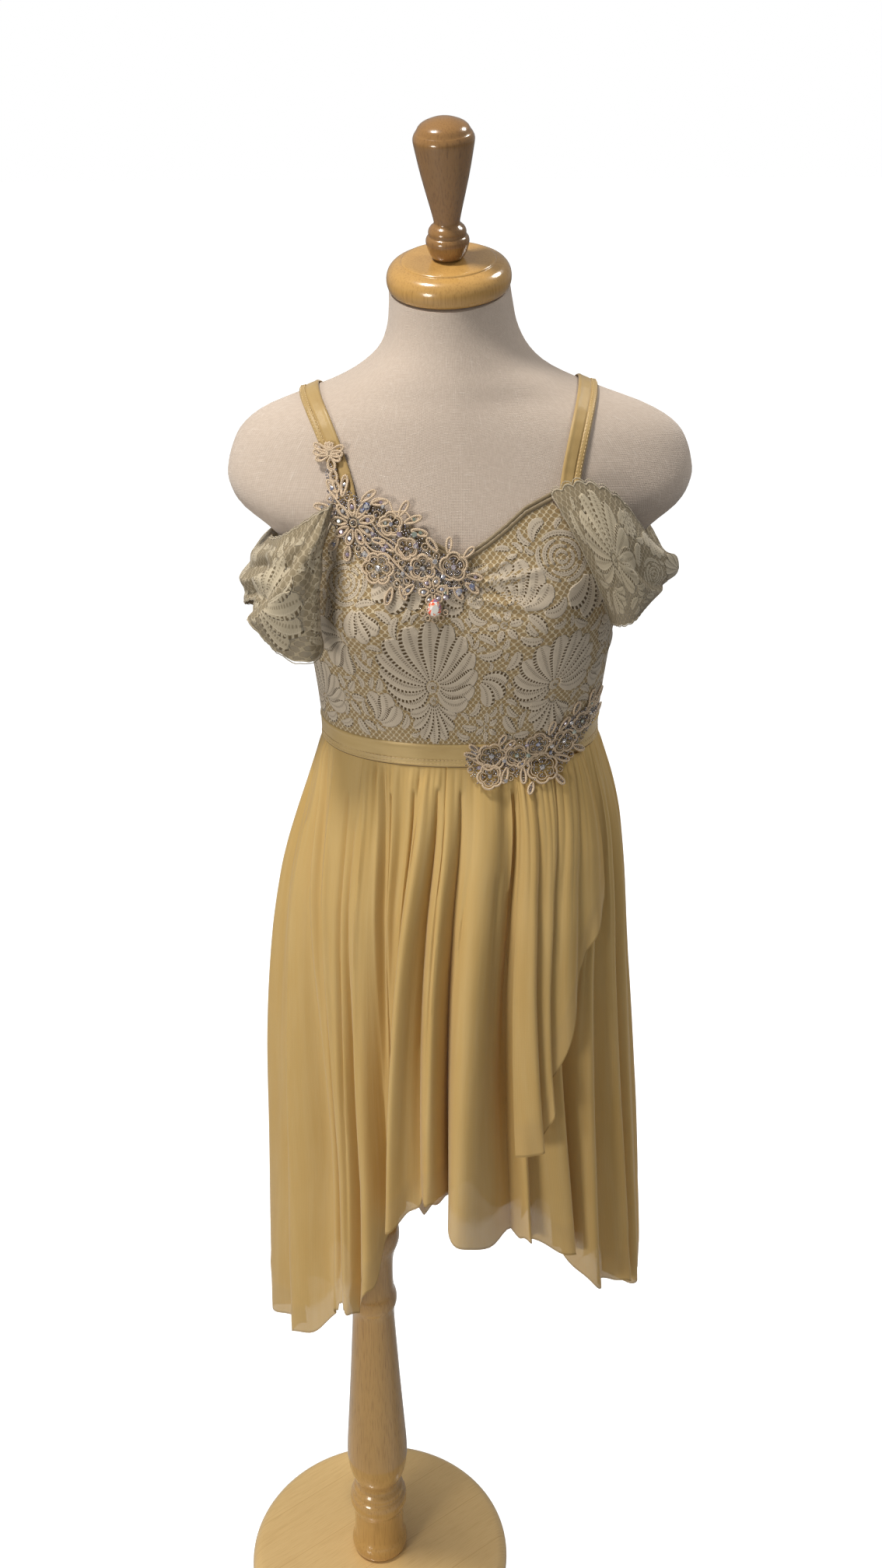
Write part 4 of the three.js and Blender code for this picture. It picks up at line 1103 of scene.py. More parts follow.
def overlay_point(s, v):
    rows = [(k, *row) for k, row in enumerate(OVERLAY_FOLDS)]
    s, v = np.broadcast_arrays(s, v)
    i = np.minimum(len(OVERLAY_FOLDS) - 2, np.floor(s).astype(int))
    p = s - i
    waist, low, rise, sink, lean = (np.array([row[k] for row in OVERLAY_FOLDS], float)
                                    for k in range(5))
    drop = v * smooth(rows, 6, s)
    settle = 1 - (1 - v) ** 2
    foot = mix(waist[i], low[i], settle)
    next_foot = mix(waist[i + 1], low[i + 1], settle)
    arch = np.sin(math.pi * p)
    angle = mix(foot, next_foot, p) + lean[i] * v * (next_foot - foot) * arch / 2
    grown = 1 - np.exp(-drop / RISE_LENGTH)
    shape = rise[i] * arch ** CREST_SHARPNESS - mix(sink[i], sink[i + 1], p)
    out = OVERLAY_CLEAR + grown * (OVERLAY_LIFT + shape) + 0.5
    out = out + 0.6 * gathers(s * 1.6 + 30, drop, 23) + 1.2 * ramp(drop / 20)
    out = out + 1.3 * np.sin(9.1 * s + 1.2 * np.sin(4 * s)) * ramp((v - 0.85) / 0.15)
    return around(SKIRT_RINGS, angle, SKIRT_TOP - drop, out)


def fall(rows):
    """Shares down the cloth, closer together at the waist, where the gathers are."""
    t = np.linspace(0, 1, rows)
    return 0.45 * t + 0.55 * t * t


def hang(name, point, columns, rows, first, last, node):
    """A panel of the skirt. Its map's second number is the height over the hem."""
    s = np.linspace(first, last, columns)[:, None]
    v = fall(rows)[None, ::-1]
    grid = point(s, v)
    uv = flat_uv(grid)
    thing = shell(name, grid, np.float64(0.55), uv, MESH)
    place(thing, "stretch_mesh", node)
    return grid


hang("mesh_skirt_front", lambda s, v: skirt_point(s, v, FRONT_CREASES), 400, 78,
     -0.5 + SKIRT_SEAM, FRONT_FOLDS + 0.5 - SKIRT_SEAM, "skirt_front")
hang("mesh_skirt_back", lambda s, v: skirt_point(s, v, BACK_CREASES), 270, 78,
     FRONT_FOLDS + 0.5 + SKIRT_SEAM, len(FOLDS) - 0.5 - SKIRT_SEAM, "skirt_back")
hang("mesh_overlay", overlay_point, 130, 60, 0, len(OVERLAY_FOLDS) - 1, "skirt_overlay")


# ---------------------------------------------------------------- lace
PATTERN = 2.15               # millimetres of lace per degree round the body
LACE_WALL = 0.8              # thickness of the lace with its lining
LACE_EASE = EASE + 0.3
FRONT_REACH = SIDE_SEAM * PATTERN
WHOLE_TURN = 360 * PATTERN

# Creases of the bodice: from x, z to x, z on the cloth, width, height (minus is a trough)
BODICE_CREASES = [
    (4, 1153, 66, 1176, 2.2, 1.7),
    (5, 1148, 84, 1161, 2.4, 2.3),
    (4, 1143, 92, 1142, 2.6, -1.3),
    (5, 1139, 78, 1131, 2.6, 2.3),
    (4, 1136, 54, 1118, 2.6, 1.6),
    (-4, 1139, -58, 1120, 3.0, 0.9),
    (-70, 1152, -64, 1122, 2.4, 1.2),
    (-82, 1160, -79, 1124, 2.6, 1.5),
    (-94, 1166, -96, 1126, 3.0, 1.3),
    (-106, 1162, -112, 1128, 2.6, 1.4),
    (-186, 1098, -112, 1086, 4.0, 1.8),
    (-188, 1084, -126, 1064, 4.0, 1.3),
    (180, 1100, 116, 1084, 4.0, 1.7),
    (186, 1082, 130, 1064, 4.0, 1.2),
    (-58, 1015, -38, 1036, 3.0, 0.9),
    (30, 1015, 38, 1038, 3.0, 0.9),
    (92, 1015, 106, 1042, 3.5, 1.1),
    (210, 1092, 268, 1072, 4.5, 1.9),
    (206, 1074, 262, 1050, 4.5, -1.0),
    (300, 1112, 322, 1076, 4.0, 1.5),
    (330, 1016, 366, 1060, 4.5, 1.6),
    (400, 1018, 384, 1054, 4.0, 1.4),
    (352, 1108, 420, 1094, 4.0, 1.5),
    (566, 1092, 500, 1070, 4.5, 1.8),
    (560, 1072, 512, 1046, 4.0, -0.9),
    (470, 1110, 452, 1072, 4.0, 1.4),
]


def relief(x, z):
    """How far the creases lift the cloth."""
    total = np.zeros(np.broadcast(x, z).shape)
    for x0, z0, x1, z1, width, height in BODICE_CREASES:
        length = math.hypot(x1 - x0, z1 - z0)
        along = ((x - x0) * (x1 - x0) + (z - z0) * (z1 - z0)) / length ** 2
        off = ((x - x0) * (z1 - z0) - (z - z0) * (x1 - x0)) / length
        bow = off - 2.0 * np.sin(math.pi * np.clip(along, 0, 1))
        fade = ramp(along / 0.18 + 0.3) * ramp((1.05 - along) / 0.6)
        total = total + height * fade * hump(bow, width * (0.7 + 0.5 * np.clip(along, 0, 1)))
    return total


def bodice_at(x, z, off):
    """A point on the bodice, off above the lace's inner face."""
    x, z = np.broadcast_arrays(np.asarray(x, float), np.asarray(z, float))
    return off_torso(x / PATTERN, z, LACE_EASE + off + np.maximum(relief(x, z), -0.9))


def inside_bodice(x, z):
    return (z > WAIST_TOP + 2.5) & (z < upper_edge(x / PATTERN) - 3)


class Motifs:
    """Flowers and leaves of close lace on a surface. at(x, z, off) gives the surface, and
    inside(x, z) says whether a place on the flat lace is on it."""

    ACROSS = np.array([-1, -0.88, -0.5, 0, 0.5, 0.88, 1, 0.6, -0.6])
    LIFT = np.array([0.03, 0.06, 0.06, 0.06, 0.06, 0.06, 0.03, -0.1, -0.1])
    SHARE_FREE = 0.82        # of a leaf's width has to find room
    OVERLAP = 1.5            # of a petal's width over its spacing
    BLUNT, PEAK = 0.45, 1.8  # the outline of a petal in a fan or spray
    STACK = 0.018            # how far each petal lies over the next one

    def __init__(self, at, inside, box, seed):
        self.at, self.inside = at, inside
        self.left, self.low = box[0], box[1]
        self.taken = np.zeros((int(box[2] - box[0]) + 2, int(box[3] - box[1]) + 2), bool)
        self.draw = random.Random(seed)
        self.ribbons = []

    def cells(self, points):
        x = np.clip(np.round(points[..., 0] - self.left), 0, self.taken.shape[0] - 1)
        z = np.clip(np.round(points[..., 1] - self.low), 0, self.taken.shape[1] - 1)
        return x.astype(int), z.astype(int)

    def spread(self, spine, half):
        along = np.gradient(spine, axis=0)
        along = along / np.maximum(np.linalg.norm(along, axis=1, keepdims=True), 1e-9)
        side = np.stack([-along[:, 1], along[:, 0]], -1)
        steps = np.linspace(-1, 1, 9)[None, :, None]
        return spine[:, None] + steps * half[:, None, None] * side[:, None]

    def has_room(self, spine, half):
        body = self.spread(spine, half * self.SHARE_FREE)
        return self.inside(body[..., 0], body[..., 1]).all() and not self.taken[self.cells(body)].any()

    def ribbon(self, spine, half, lift=0.0):
        """Adds a ribbon, unless much of it is off the cloth."""
        body = self.spread(spine, half)
        if self.inside(body[..., 0], body[..., 1]).mean() < 0.75:
            return
        self.ribbons.append((spine, half, lift))
        self.taken[self.cells(body)] = True

    @staticmethod
    def leaf(x, z, heading, length, width, bend, blunt=0.7, peak=0.85):
        """The spine and half widths of a leaf that starts at one place towards a heading, and
        bends as it goes. Angles in degrees."""
        count = max(9, int(length / 1.5))
        t = np.linspace(0, 1, count)
        turn = (heading + bend * (t - 0.35)) * RAD
        step = length / (count - 1)
        x = x + np.concatenate([[0], np.cumsum(np.cos(turn[:-1]) * step)])
        z = z + np.concatenate([[0], np.cumsum(np.sin(turn[:-1]) * step)])
        half = width / 2 * np.sin(math.pi * (0.03 + 0.94 * t ** peak)) ** blunt
        half = half * (1 + 0.05 * np.sin(t * length * 1.9))
        return np.stack([x, z], -1), half

    def petal(self, *shape, lift=0.0, **form):
        self.ribbon(*self.leaf(*shape, **form), lift)

    def arc(self, x, z, radius, start, sweep, width, squash=1.0):
        count = max(8, int(radius * abs(sweep) * RAD / 2.2))
        t = np.linspace(0, 1, count)
        turn = (start + sweep * t) * RAD
        spine = np.stack([x + radius * np.cos(turn), z + squash * radius * np.sin(turn)], -1)
        self.ribbon(spine, width / 2 * np.sin(math.pi * (0.05 + 0.9 * t)) ** 0.45)

    def fan(self, x, z, size, petals, start, sweep, bend):
        """A many-petalled flower that opens from one place, its petals side by side."""
        step = sweep / (petals - 1)
        for k in range(petals):
            share = k / (petals - 1)
            length = size * (0.72 + 0.28 * math.sin(math.pi * share))
            root = size * 0.14
            heading = start + step * k
            px, pz = x + root * math.cos(heading * RAD), z + root * math.sin(heading * RAD)
            width = self.OVERLAP * (root + 0.62 * length) * abs(step) * RAD
            self.petal(px, pz, heading, length, width, bend * (1 - 2 * share),
                       blunt=self.BLUNT, peak=self.PEAK, lift=self.STACK * (petals - k))
        self.arc(x, z, size * 0.07, 0, 340, size * 0.1)

    def spray(self, x, z, heading, size, petals, sweep, bend):
        """Petals side by side from one root, added only where all of them have room."""
        step = sweep / (petals - 1)
        shapes = []
        for k in range(petals):
            turn = heading + step * (k - (petals - 1) / 2)
            root = size * 0.2
            px, pz = x + root * math.cos(turn * RAD), z + root * math.sin(turn * RAD)
            length = size * (0.78 + 0.22 * math.sin(math.pi * (k + 0.5) / petals))
            width = self.OVERLAP * (root + 0.62 * length) * step * RAD
            shapes.append(self.leaf(px, pz, turn, length, width, bend, self.BLUNT, self.PEAK))
        if all(self.has_room(*shape) for shape in shapes):
            for k, shape in enumerate(shapes):
                self.ribbon(*shape, self.STACK * (petals - k))

    def rose(self, x, z, size, turn):
        """A flower seen from above: arcs round each other, and a heart."""
        for k, (share, width) in enumerate(((0.22, 0.15), (0.45, 0.17), (0.7, 0.19), (0.97, 0.22))):
            for half in range(2 if k < 2 else 3):
                pieces = 2 if k < 2 else 3
                start = turn + 47 * k + 360 / pieces * half
                self.arc(x, z, size * share, start, 360 / pieces - 14, size * width, 0.92)

    def blossom(self, x, z, size, petals, turn):
        for k in range(petals):
            heading = turn + 360 * k / petals
            px, pz = x + size * 0.3 * math.cos(heading * RAD), z + size * 0.3 * math.sin(heading * RAD)
            self.petal(px, pz, heading, size * 0.72, size * 2.1 / petals * 1.25, 0)
        self.arc(x, z, size * 0.16, 0, 340, size * 0.15)

    def sprays(self, tries, largest, smallest):
        """Sprays wherever there is room, the large ones first."""
        span = self.taken.shape
        for k in range(tries):
            size = mix(largest, smallest, k / tries) * self.draw.uniform(0.9, 1.1)
            x = self.left + self.draw.random() * span[0]
            z = self.low + self.draw.random() * span[1]
            heading, side = self.draw.uniform(0, 360), self.draw.choice((-1, 1))
            petals = self.draw.choice((3, 4, 5))
            self.spray(x, z, heading, size, petals, 19 * petals, side * self.draw.uniform(45, 95))

    def fill(self, tries, longest, shortest):
        """Leaves wherever there is room, the long ones first."""
        span = self.taken.shape
        for k in range(tries):
            length = mix(longest, shortest, (k / tries) ** 0.7) * self.draw.uniform(0.85, 1.15)
            x = self.left + self.draw.random() * span[0]
            z = self.low + self.draw.random() * span[1]
            flow = 70 * math.sin(x / 31) + 80 * math.cos(z / 19 + x / 60)
            heading = flow + self.draw.uniform(-45, 45) + self.draw.choice((0, 180))
            bend = self.draw.choice((-1, 1)) * self.draw.uniform(40, 120)
            width = min(10, max(4.2, length * self.draw.uniform(0.34, 0.5)))
            shape = self.leaf(x, z, heading, length, width, bend)
            if self.has_room(*shape):
                self.ribbon(*shape)

    def build(self, name, material, base):
        """base is how far the ribbons' edges lie over the surface."""
        flat, lift, faces, uv = [], [], [], []
        count, sides = 0, len(self.ACROSS)
        for spine, half, rise in self.ribbons:
            along = np.gradient(spine, axis=0)
            along = along / np.maximum(np.linalg.norm(along, axis=1, keepdims=True), 1e-9)
            side = np.stack([-along[:, 1], along[:, 0]], -1)
            points = spine[:, None] + (self.ACROSS * half[:, None])[..., None] * side[:, None]
            flat.append(points.reshape(-1, 2))
            lift.append(np.broadcast_to(self.LIFT + rise, points.shape[:2]).ravel())
            run = np.linalg.norm(np.diff(spine, axis=0), axis=1)
            run = np.concatenate([[0], np.cumsum(run)])
            pair = np.broadcast_arrays(run[:, None], self.ACROSS[None, :])
            uv.append(np.stack(pair, -1).reshape(-1, 2))
            rows = len(spine)
            ring = np.arange(sides)
            here = count + np.arange(rows - 1)[:, None] * sides
            quads = [here + ring, here + sides + ring, here + sides + (ring + 1) % sides,
                     here + (ring + 1) % sides]
            faces += np.stack(quads, -1).reshape(-1, 4).tolist()
            faces.append((count + ring).tolist())
            faces.append((count + (rows - 1) * sides + ring[::-1]).tolist())
            count += rows * sides
        flat, lift, uv = np.concatenate(flat), np.concatenate(lift), np.concatenate(uv)
        points = self.at(flat[:, 0], flat[:, 1], base + lift)
        corners = np.concatenate([uv[face] for face in faces])
        return make_mesh(name, points, faces, corners, material)


def front_motifs():
    motifs = Motifs(bodice_at, inside_bodice, (-FRONT_REACH + 2, WAIST_TOP, FRONT_REACH - 2, 1208), 5)
    motifs.fan(-30, 1064, 50, 13, -28, 236, 118)
    motifs.fan(-30, 1052, 34, 7, 214, 112, -70)
    motifs.fan(92, 1062, 42, 11, 0, 210, 96)
    motifs.fan(94, 1050, 28, 6, 200, 120, -60)
    motifs.rose(88, 1166, 20, 10)
    motifs.rose(-98, 1146, 18, 60)
    motifs.blossom(38, 1118, 14, 6, 15)
    motifs.blossom(-118, 1048, 19, 7, 0)
    motifs.blossom(28, 1028, 13, 6, 30)
    motifs.fan(-150, 1036, 34, 10, 0, 210, 90)
    motifs.rose(158, 1036, 17, 20)
    motifs.sprays(2600, 32, 18)
    motifs.fill(7000, 22, 8)
    return motifs


def back_motifs():
    box = (FRONT_REACH + 2, WAIST_TOP, WHOLE_TURN - FRONT_REACH - 2, 1146)
    motifs = Motifs(bodice_at, inside_bodice, box, 8)
    motifs.fan(352, 1054, 44, 13, -20, 230, 110)
    motifs.fan(468, 1044, 36, 11, 20, 220, 90)
    motifs.fan(252, 1040, 36, 11, -20, 220, 90)
    motifs.rose(302, 1118, 16, 30)
    motifs.rose(472, 1116, 16, 0)
    motifs.blossom(412, 1084, 14, 6, 10)
    motifs.blossom(556, 1060, 16, 6, 0)
    motifs.sprays(2200, 30, 18)
    motifs.fill(6000, 22, 8)
    return motifs


def panel_grid(start, end, columns, rows):
    gap = SEAM / 2
    x = np.linspace(start + gap, end - gap, columns)[:, None]
    v = np.linspace(0, 1, rows)[None, :]
    z = mix(WAIST_TOP + SEAM, upper_edge(x / PATTERN), v)
    return bodice_at(x, z, 0), np.stack(np.broadcast_arrays(x, z), -1)


def edge_line(heap, start, end, radius):
    """The turned edge of the lace, along the top of a panel."""
    x = np.linspace(start, end, int(abs(end - start) / 1.6))
    z = upper_edge(x / PATTERN) - 0.4
    path = bodice_at(x, z, LACE_WALL * 0.6)
    tube(heap, path, bodice_at(x, z, 3) - path, radius, 8)


LACE = lace_paint("stretch_lace", GOLD_LINING, rgb(192, 174, 138), rgb(228, 212, 182), 0)
# the last colour of each motif is the painted shade of its eyelet holes
MOTIF = motif_paint("lace_motif", rgb(176, 162, 142), rgb(228, 214, 192), rgb(84, 66, 38))
SLEEVE_MOTIF = motif_paint("sleeve_motif", rgb(170, 158, 134), rgb(212, 200, 174),
                           rgb(112, 98, 74))
SATIN = satin_paint("gold_satin", rgb(212, 186, 130), rgb(184, 154, 96))
STRAP_SATIN = satin_paint("strap_satin", rgb(192, 166, 112), rgb(160, 130, 78))
BINDING_SATIN = satin_paint("binding_satin", rgb(148, 131, 102), rgb(116, 100, 73))
THREAD = thread_paint()
CORD = cord_paint()
STONE = stone_paint()
BEAD = bead_paint()


def panel(name, start, end, columns, rows, node, motifs, parts):
    grid, uv = panel_grid(start, end, columns, rows)
    thing = shell(name, grid, np.float64(LACE_WALL), uv, LACE)
    place(thing, "stretch_lace", node)
    flowers = motifs.build(name + "_motifs", MOTIF, LACE_WALL + 0.03)
    place(flowers, "stretch_lace")
    lines = Heap()
    for first, last in parts:
        edge_line(lines, first, last, 0.95)
    edge = place(lines.build(name + "_edge", MOTIF), "stretch_lace")


panel("lace_front", -FRONT_REACH, FRONT_REACH, 240, 64, "bodice_front", front_motifs(),
      [(-FRONT_REACH + 0.3, -52 * PATTERN), (43 * PATTERN, FRONT_REACH - 0.3)])
panel("lace_back", FRONT_REACH, WHOLE_TURN - FRONT_REACH, 200, 44, "bodice_back", back_motifs(),
      [(FRONT_REACH + 0.3, WHOLE_TURN - FRONT_REACH - 0.3)])


# ---------------------------------------------------------------- binding, waistband, straps
def stitch_row(heap, path, normals, pitch, share=0.7, radius=0.34):
    """Stitches along a path, each a short thread that dips in at both ends."""
    run = np.concatenate([[0], np.cumsum(np.linalg.norm(np.diff(path, axis=0), axis=1))])
    count = int(run[-1] / pitch)
    normals = unit(normals)
    for k in range(count):
        span = run[-1] * (k + np.array([0.0, 0.18, 0.5, 0.82, 1.0]) * share) / count
        place_at = np.stack([np.interp(span, run, path[:, a]) for a in range(3)], -1)
        out = np.stack([np.interp(span, run, normals[:, a]) for a in range(3)], -1)
        place_at = place_at + out * np.array([-0.3, 0.12, 0.2, 0.12, -0.3])[:, None]
        tube(heap, place_at, out, radius, 5)


def neckline():
    heap = Heap()
    angles = np.linspace(BINDING_FROM, BINDING_TO, 130)
    z = upper_edge(angles)
    wave = 0.25 * np.sin(angles * 1.9) + 0.15 * np.sin(angles * 4.3)
    for height, radius in ((SEAM + 1.75, 1.7), (SEAM + 4.85, 1.6)):
        path = off_torso(angles, z + height, EASE + 1.0 + wave * 0.4)
        tube(heap, path, off_torso(angles, z + height, EASE + 4) - path, radius, 12, flat=0.72)
    thing = place(heap.build("neck_binding", BINDING_SATIN), "satin_spandex", "neckline_binding")


BAND_ROWS = (2.6, 5.8)       # stitch rows over the waistband's lower edge


def waist_band():
    columns, rows = 360, 27
    angles = 360 * np.arange(columns) / columns
    z = np.linspace(WAIST_BOTTOM, WAIST_TOP, rows)
    grid = off_torso(angles[:, None], z[None, :], np.full((1, rows), EASE + 0.1))
    up = z - WAIST_BOTTOM
    edge = np.minimum(up, WAIST_TOP - z)
    roll = 0.7 * np.sqrt(np.clip(edge / 1.6, 0, 1)) + 0.55 * hump(edge - 1.4, 1.5)
    for row in BAND_ROWS:
        roll = roll - 0.4 * hump(up - row, 0.6)
    pucker = 0.14 * np.sin(angles * 4.1)[:, None] * hump(up - 4.2, 3.0)[None, :]
    slack = 0.35 * np.sin(angles * 0.21 + 1)[:, None] * np.sin(math.pi * up / 20)[None, :]
    thickness = 0.9 + roll[None, :] + pucker + slack
    length = float(flat_uv(grid, closed=True)[-1, 0, 0])
    uv = np.stack(np.broadcast_arrays(np.linspace(0, length, columns + 1)[:, None],
                                      up[None, :]), -1)
    thing = shell("waist_band", grid, thickness, uv, SATIN, closed=True)
    place(thing, "satin_spandex", "waistband")
    heap = Heap()
    turn = np.linspace(0, 360, 721)
    for row in BAND_ROWS:
        level = np.full(turn.shape, WAIST_BOTTOM + row)
        path = off_torso(turn, level, EASE + 0.1 + 1.45)
        stitch_row(heap, path, off_torso(turn, level, EASE + 4) - path, 3.1)
    seams = place(heap.build("band_stitches", THREAD), "satin_spandex")


def inside_torso(points):
    dx = points[..., 0] - TORSO_X - smooth(TORSO_RINGS, 1, points[..., 2])
    angle = np.arctan2(dx, -points[..., 1]) / RAD
    reach = oval_radius(TORSO_RINGS, angle, points[..., 2]) + bust(angle, points[..., 2])
    return (points[..., 2] < NECK_TOP) & (np.hypot(dx, points[..., 1]) < reach)


def over_shoulder(x, turn, distance):
    """A point off the torso, seen from the level line that the strap is wrapped round."""
    x, turn, distance = np.broadcast_arrays(x, turn, distance)
    out = np.stack([np.zeros(x.shape), -np.cos(turn * RAD), np.sin(turn * RAD)], -1)
    start = np.stack([x, np.zeros(x.shape), np.full(x.shape, float(STRAP_PIVOT))], -1)
    near, far = np.zeros(x.shape), np.full(x.shape, 150.0)
    for _ in range(26):
        middle = (near + far) / 2
        inside = inside_torso(start + out * middle[..., None])
        near, far = np.where(inside, middle, near), np.where(inside, far, middle)
    return start + out * (near + distance)[..., None]


def strap(name, feet, outer, node):
    """outer is the side, -1 or 1, where the two stitch rows run."""
    front, top, back = feet
    columns, rows = 29, 150
    u = np.linspace(0, 1, columns)[:, None]
    turn = np.linspace(STRAP_FRONT_ANGLE, STRAP_BACK_ANGLE, rows)[None, :]
    over = np.clip(np.sin(turn * RAD), 0, 1) ** STRAP_CURVE
    middle = mix(np.where(turn < 90, front, back), top, over)
    foot = 1 - ramp((np.minimum(turn, 180 - turn) - STRAP_FRONT_ANGLE) / STRAP_FOOT)
    clear = mix(ON_FORM, ON_BODICE, foot)
    grid = over_shoulder(TORSO_X + middle + STRAP_WIDTH * (u - 0.5), turn, clear)
    across = u if outer > 0 else 1 - u
    edge = np.minimum(u, 1 - u) * STRAP_WIDTH
    rise = 0.7 * np.sqrt(np.clip(edge / 1.3, 0, 1)) + 0.35 * hump(edge - 1.6, 1.4)
    rise = rise + 0.45 * hump(across - 0.8, 0.09) - 0.8 * hump(across - 0.66, 0.04)
    rise = rise + 0.12 * np.sin(turn * 0.9 + across * 2) * hump(across - 0.35, 0.3)
    thickness = np.broadcast_to(0.45 + rise, grid.shape[:2])
    uv = flat_uv(grid)[..., ::-1]
    thing = place(shell(name, grid, thickness, uv, STRAP_SATIN), "satin_spandex", node)
    outside = grid + normals_of(grid, False) * thickness[..., None]
    normals = normals_of(grid, False)
    heap = Heap()
    for share in (0.72, 0.9):
        k = int(round((share if outer > 0 else 1 - share) * (columns - 1)))
        stitch_row(heap, outside[k], normals[k], 2.9, radius=0.3)
    seams = place(heap.build(name + "_stitches", THREAD), "satin_spandex")


neckline()
waist_band()
strap("satin_strap_left", LEFT_STRAP, -1, "strap_left")
strap("satin_strap_right", RIGHT_STRAP, 1, "strap_right")


# ---------------------------------------------------------------- sleeve drapes
# Folds along each drape: share down the cloth at the front seam and at the back, width,
# height, and where it is strongest, as a share round the arm
LEFT_FOLDS = [
    (0.14, 0.2, 0.07, 3.0, 0.45),
    (0.27, 0.33, 0.05, -2.2, 0.42),
    (0.4, 0.47, 0.075, 3.8, 0.5),
    (0.54, 0.62, 0.05, -2.4, 0.4),
    (0.7, 0.76, 0.08, 3.0, 0.7),
]
RIGHT_FOLDS = [
    (0.24, 0.3, 0.14, 1.6, 0.6),
    (0.6, 0.72, 0.15, 1.4, 0.7),
]
# Laps, where the cloth doubles over itself: share round the arm at the upper and the lower
# edge, height, and how soon it falls
LEFT_LAPS = [(0.02, 0.17, 7.0, 0.03), (0.05, 0.34, 7.0, 0.03), (0.1, 0.6, 5.0, 0.04)]
RIGHT_LAPS = [(0.0, 0.44, 3.0, 0.05), (0.5, 0.62, 2.0, 0.06)]
# Where the lower edge is cut up, so that the drape ends in a point by the front seam: shares
# round the arm, how far, and how far at the point itself
LEFT_CUT = (0.12, 0.36, 19, 9)
RIGHT_CUT = (0.1, 0.45, 7, 0)
# How far the foot of the front edge is cut back, where it hangs free of the bodice
LEFT_FREE, RIGHT_FREE = 24, 0
FREE_CURVE = 1.6
DRAPE_LENGTH = 330           # round the arm
DRAPE_WIDTH = 82


class Drape:
    """One off-the-shoulder drape. Its flat lace runs from the front seam (x = 0) round to the
    back, and from its lower edge (z = 0) up."""

    def __init__(self, table, side, folds, laps, cut, free, scallop, seed):
        self.rows = [(k, *top, *belly, *low) for k, (top, belly, low) in enumerate(table)]
        self.side, self.folds, self.scallop = side, folds, scallop
        self.laps, self.cut, self.free = laps, cut, free
        self.seed = seed

    def plain(self, share, level):
        """share runs round the arm, and level from the upper edge (0) to the lower (1)."""
        at = share * (len(self.rows) - 1)
        weights = [(1 - level) * (1 - 2 * level), 4 * level * (1 - level), level * (2 * level - 1)]
        spots = [[smooth(self.rows, 1 + 3 * part + axis, at) for axis in range(3)]
                 for part in range(3)]
        x, y, z = (sum(w * spot[axis] for w, spot in zip(weights, spots)) for axis in range(3))
        return np.stack(np.broadcast_arrays(TORSO_X + x, y, z), -1)

    def swell(self, share, level):
        total = np.zeros(np.broadcast(share, level).shape)
        for front, back, width, height, peak in self.folds:
            middle = mix(front, back, share ** 0.8) + 0.015 * np.sin(7 * share + 7 * front)
            fade = hump(share - peak, 0.42)
            total = total + height * fade * hump(level - middle, width * (0.6 + 0.6 * share))
        for upper, lower, height, fall in self.laps:
            beyond = share - mix(upper, lower, np.clip(level, 0, 1) ** 1.15) - 0.012 * np.sin(5 * level)
            total = total + height * (1 - ramp(beyond / fall + 0.5)) * ramp(share / 0.12)
            total = total + 0.25 * height * hump(beyond + 0.8 * fall, fall)
        pleats = np.exp(-share / 0.09) + np.exp(-(1 - share) / 0.09)
        total = total + 0.3 * pleats * np.sin(level * 24 + 2 * np.sin(5 * level))
        flutter = np.sin(share * 13 + self.seed) * ramp((level - 0.65) / 0.35)
        return total + 0.9 * flutter * np.sin(math.pi * share) + 0.8

    def at(self, x, z, off):
        share, level = np.broadcast_arrays(np.clip(x / DRAPE_LENGTH, 0, 1), 1 - z / DRAPE_WIDTH)
        step = 0.02
        turn = self.plain(share + step, level) - self.plain(share - step, level)
        climb = self.plain(share, level - step) - self.plain(share, level + step)
        out = unit(np.cross(turn, climb)) * self.side
        ends = np.minimum(share, 1 - share)
        distance = self.swell(share, level) * ramp(ends / 0.03 + 0.5) + off
        return self.plain(share, level) + out * distance[..., None]

    def bounds(self, x):
        """Where the scalloped edges are, at places round the arm."""
        top = DRAPE_WIDTH + self.scallop * np.abs(np.sin(math.pi * x / 15)) ** 0.7
        start, end, height, point = self.cut
        share = x / DRAPE_LENGTH
        raised = point + height * ramp((share - start) / (end - start))
        raised = raised * (1 - ramp((share - end - 0.1) / 0.25))
        low = raised - 1.6 * np.abs(np.sin(math.pi * x / 9)) ** 0.7
        return low, top

    def front(self, z):
        """Where the front edge is, at heights on the flat cloth."""
        return self.free * np.clip(1 - z / DRAPE_WIDTH, 0, 1) ** FREE_CURVE

    def inside(self, x, z):
        low, top = self.bounds(x)
        return (x > self.front(z) + 4) & (x < DRAPE_LENGTH - 4) & (z > low + 3) & (z < top - 3)


SLEEVE_LACE = lace_paint("sleeve_lace", rgb(160, 146, 118), rgb(182, 168, 140), rgb(206, 192, 164),
                         0.15)


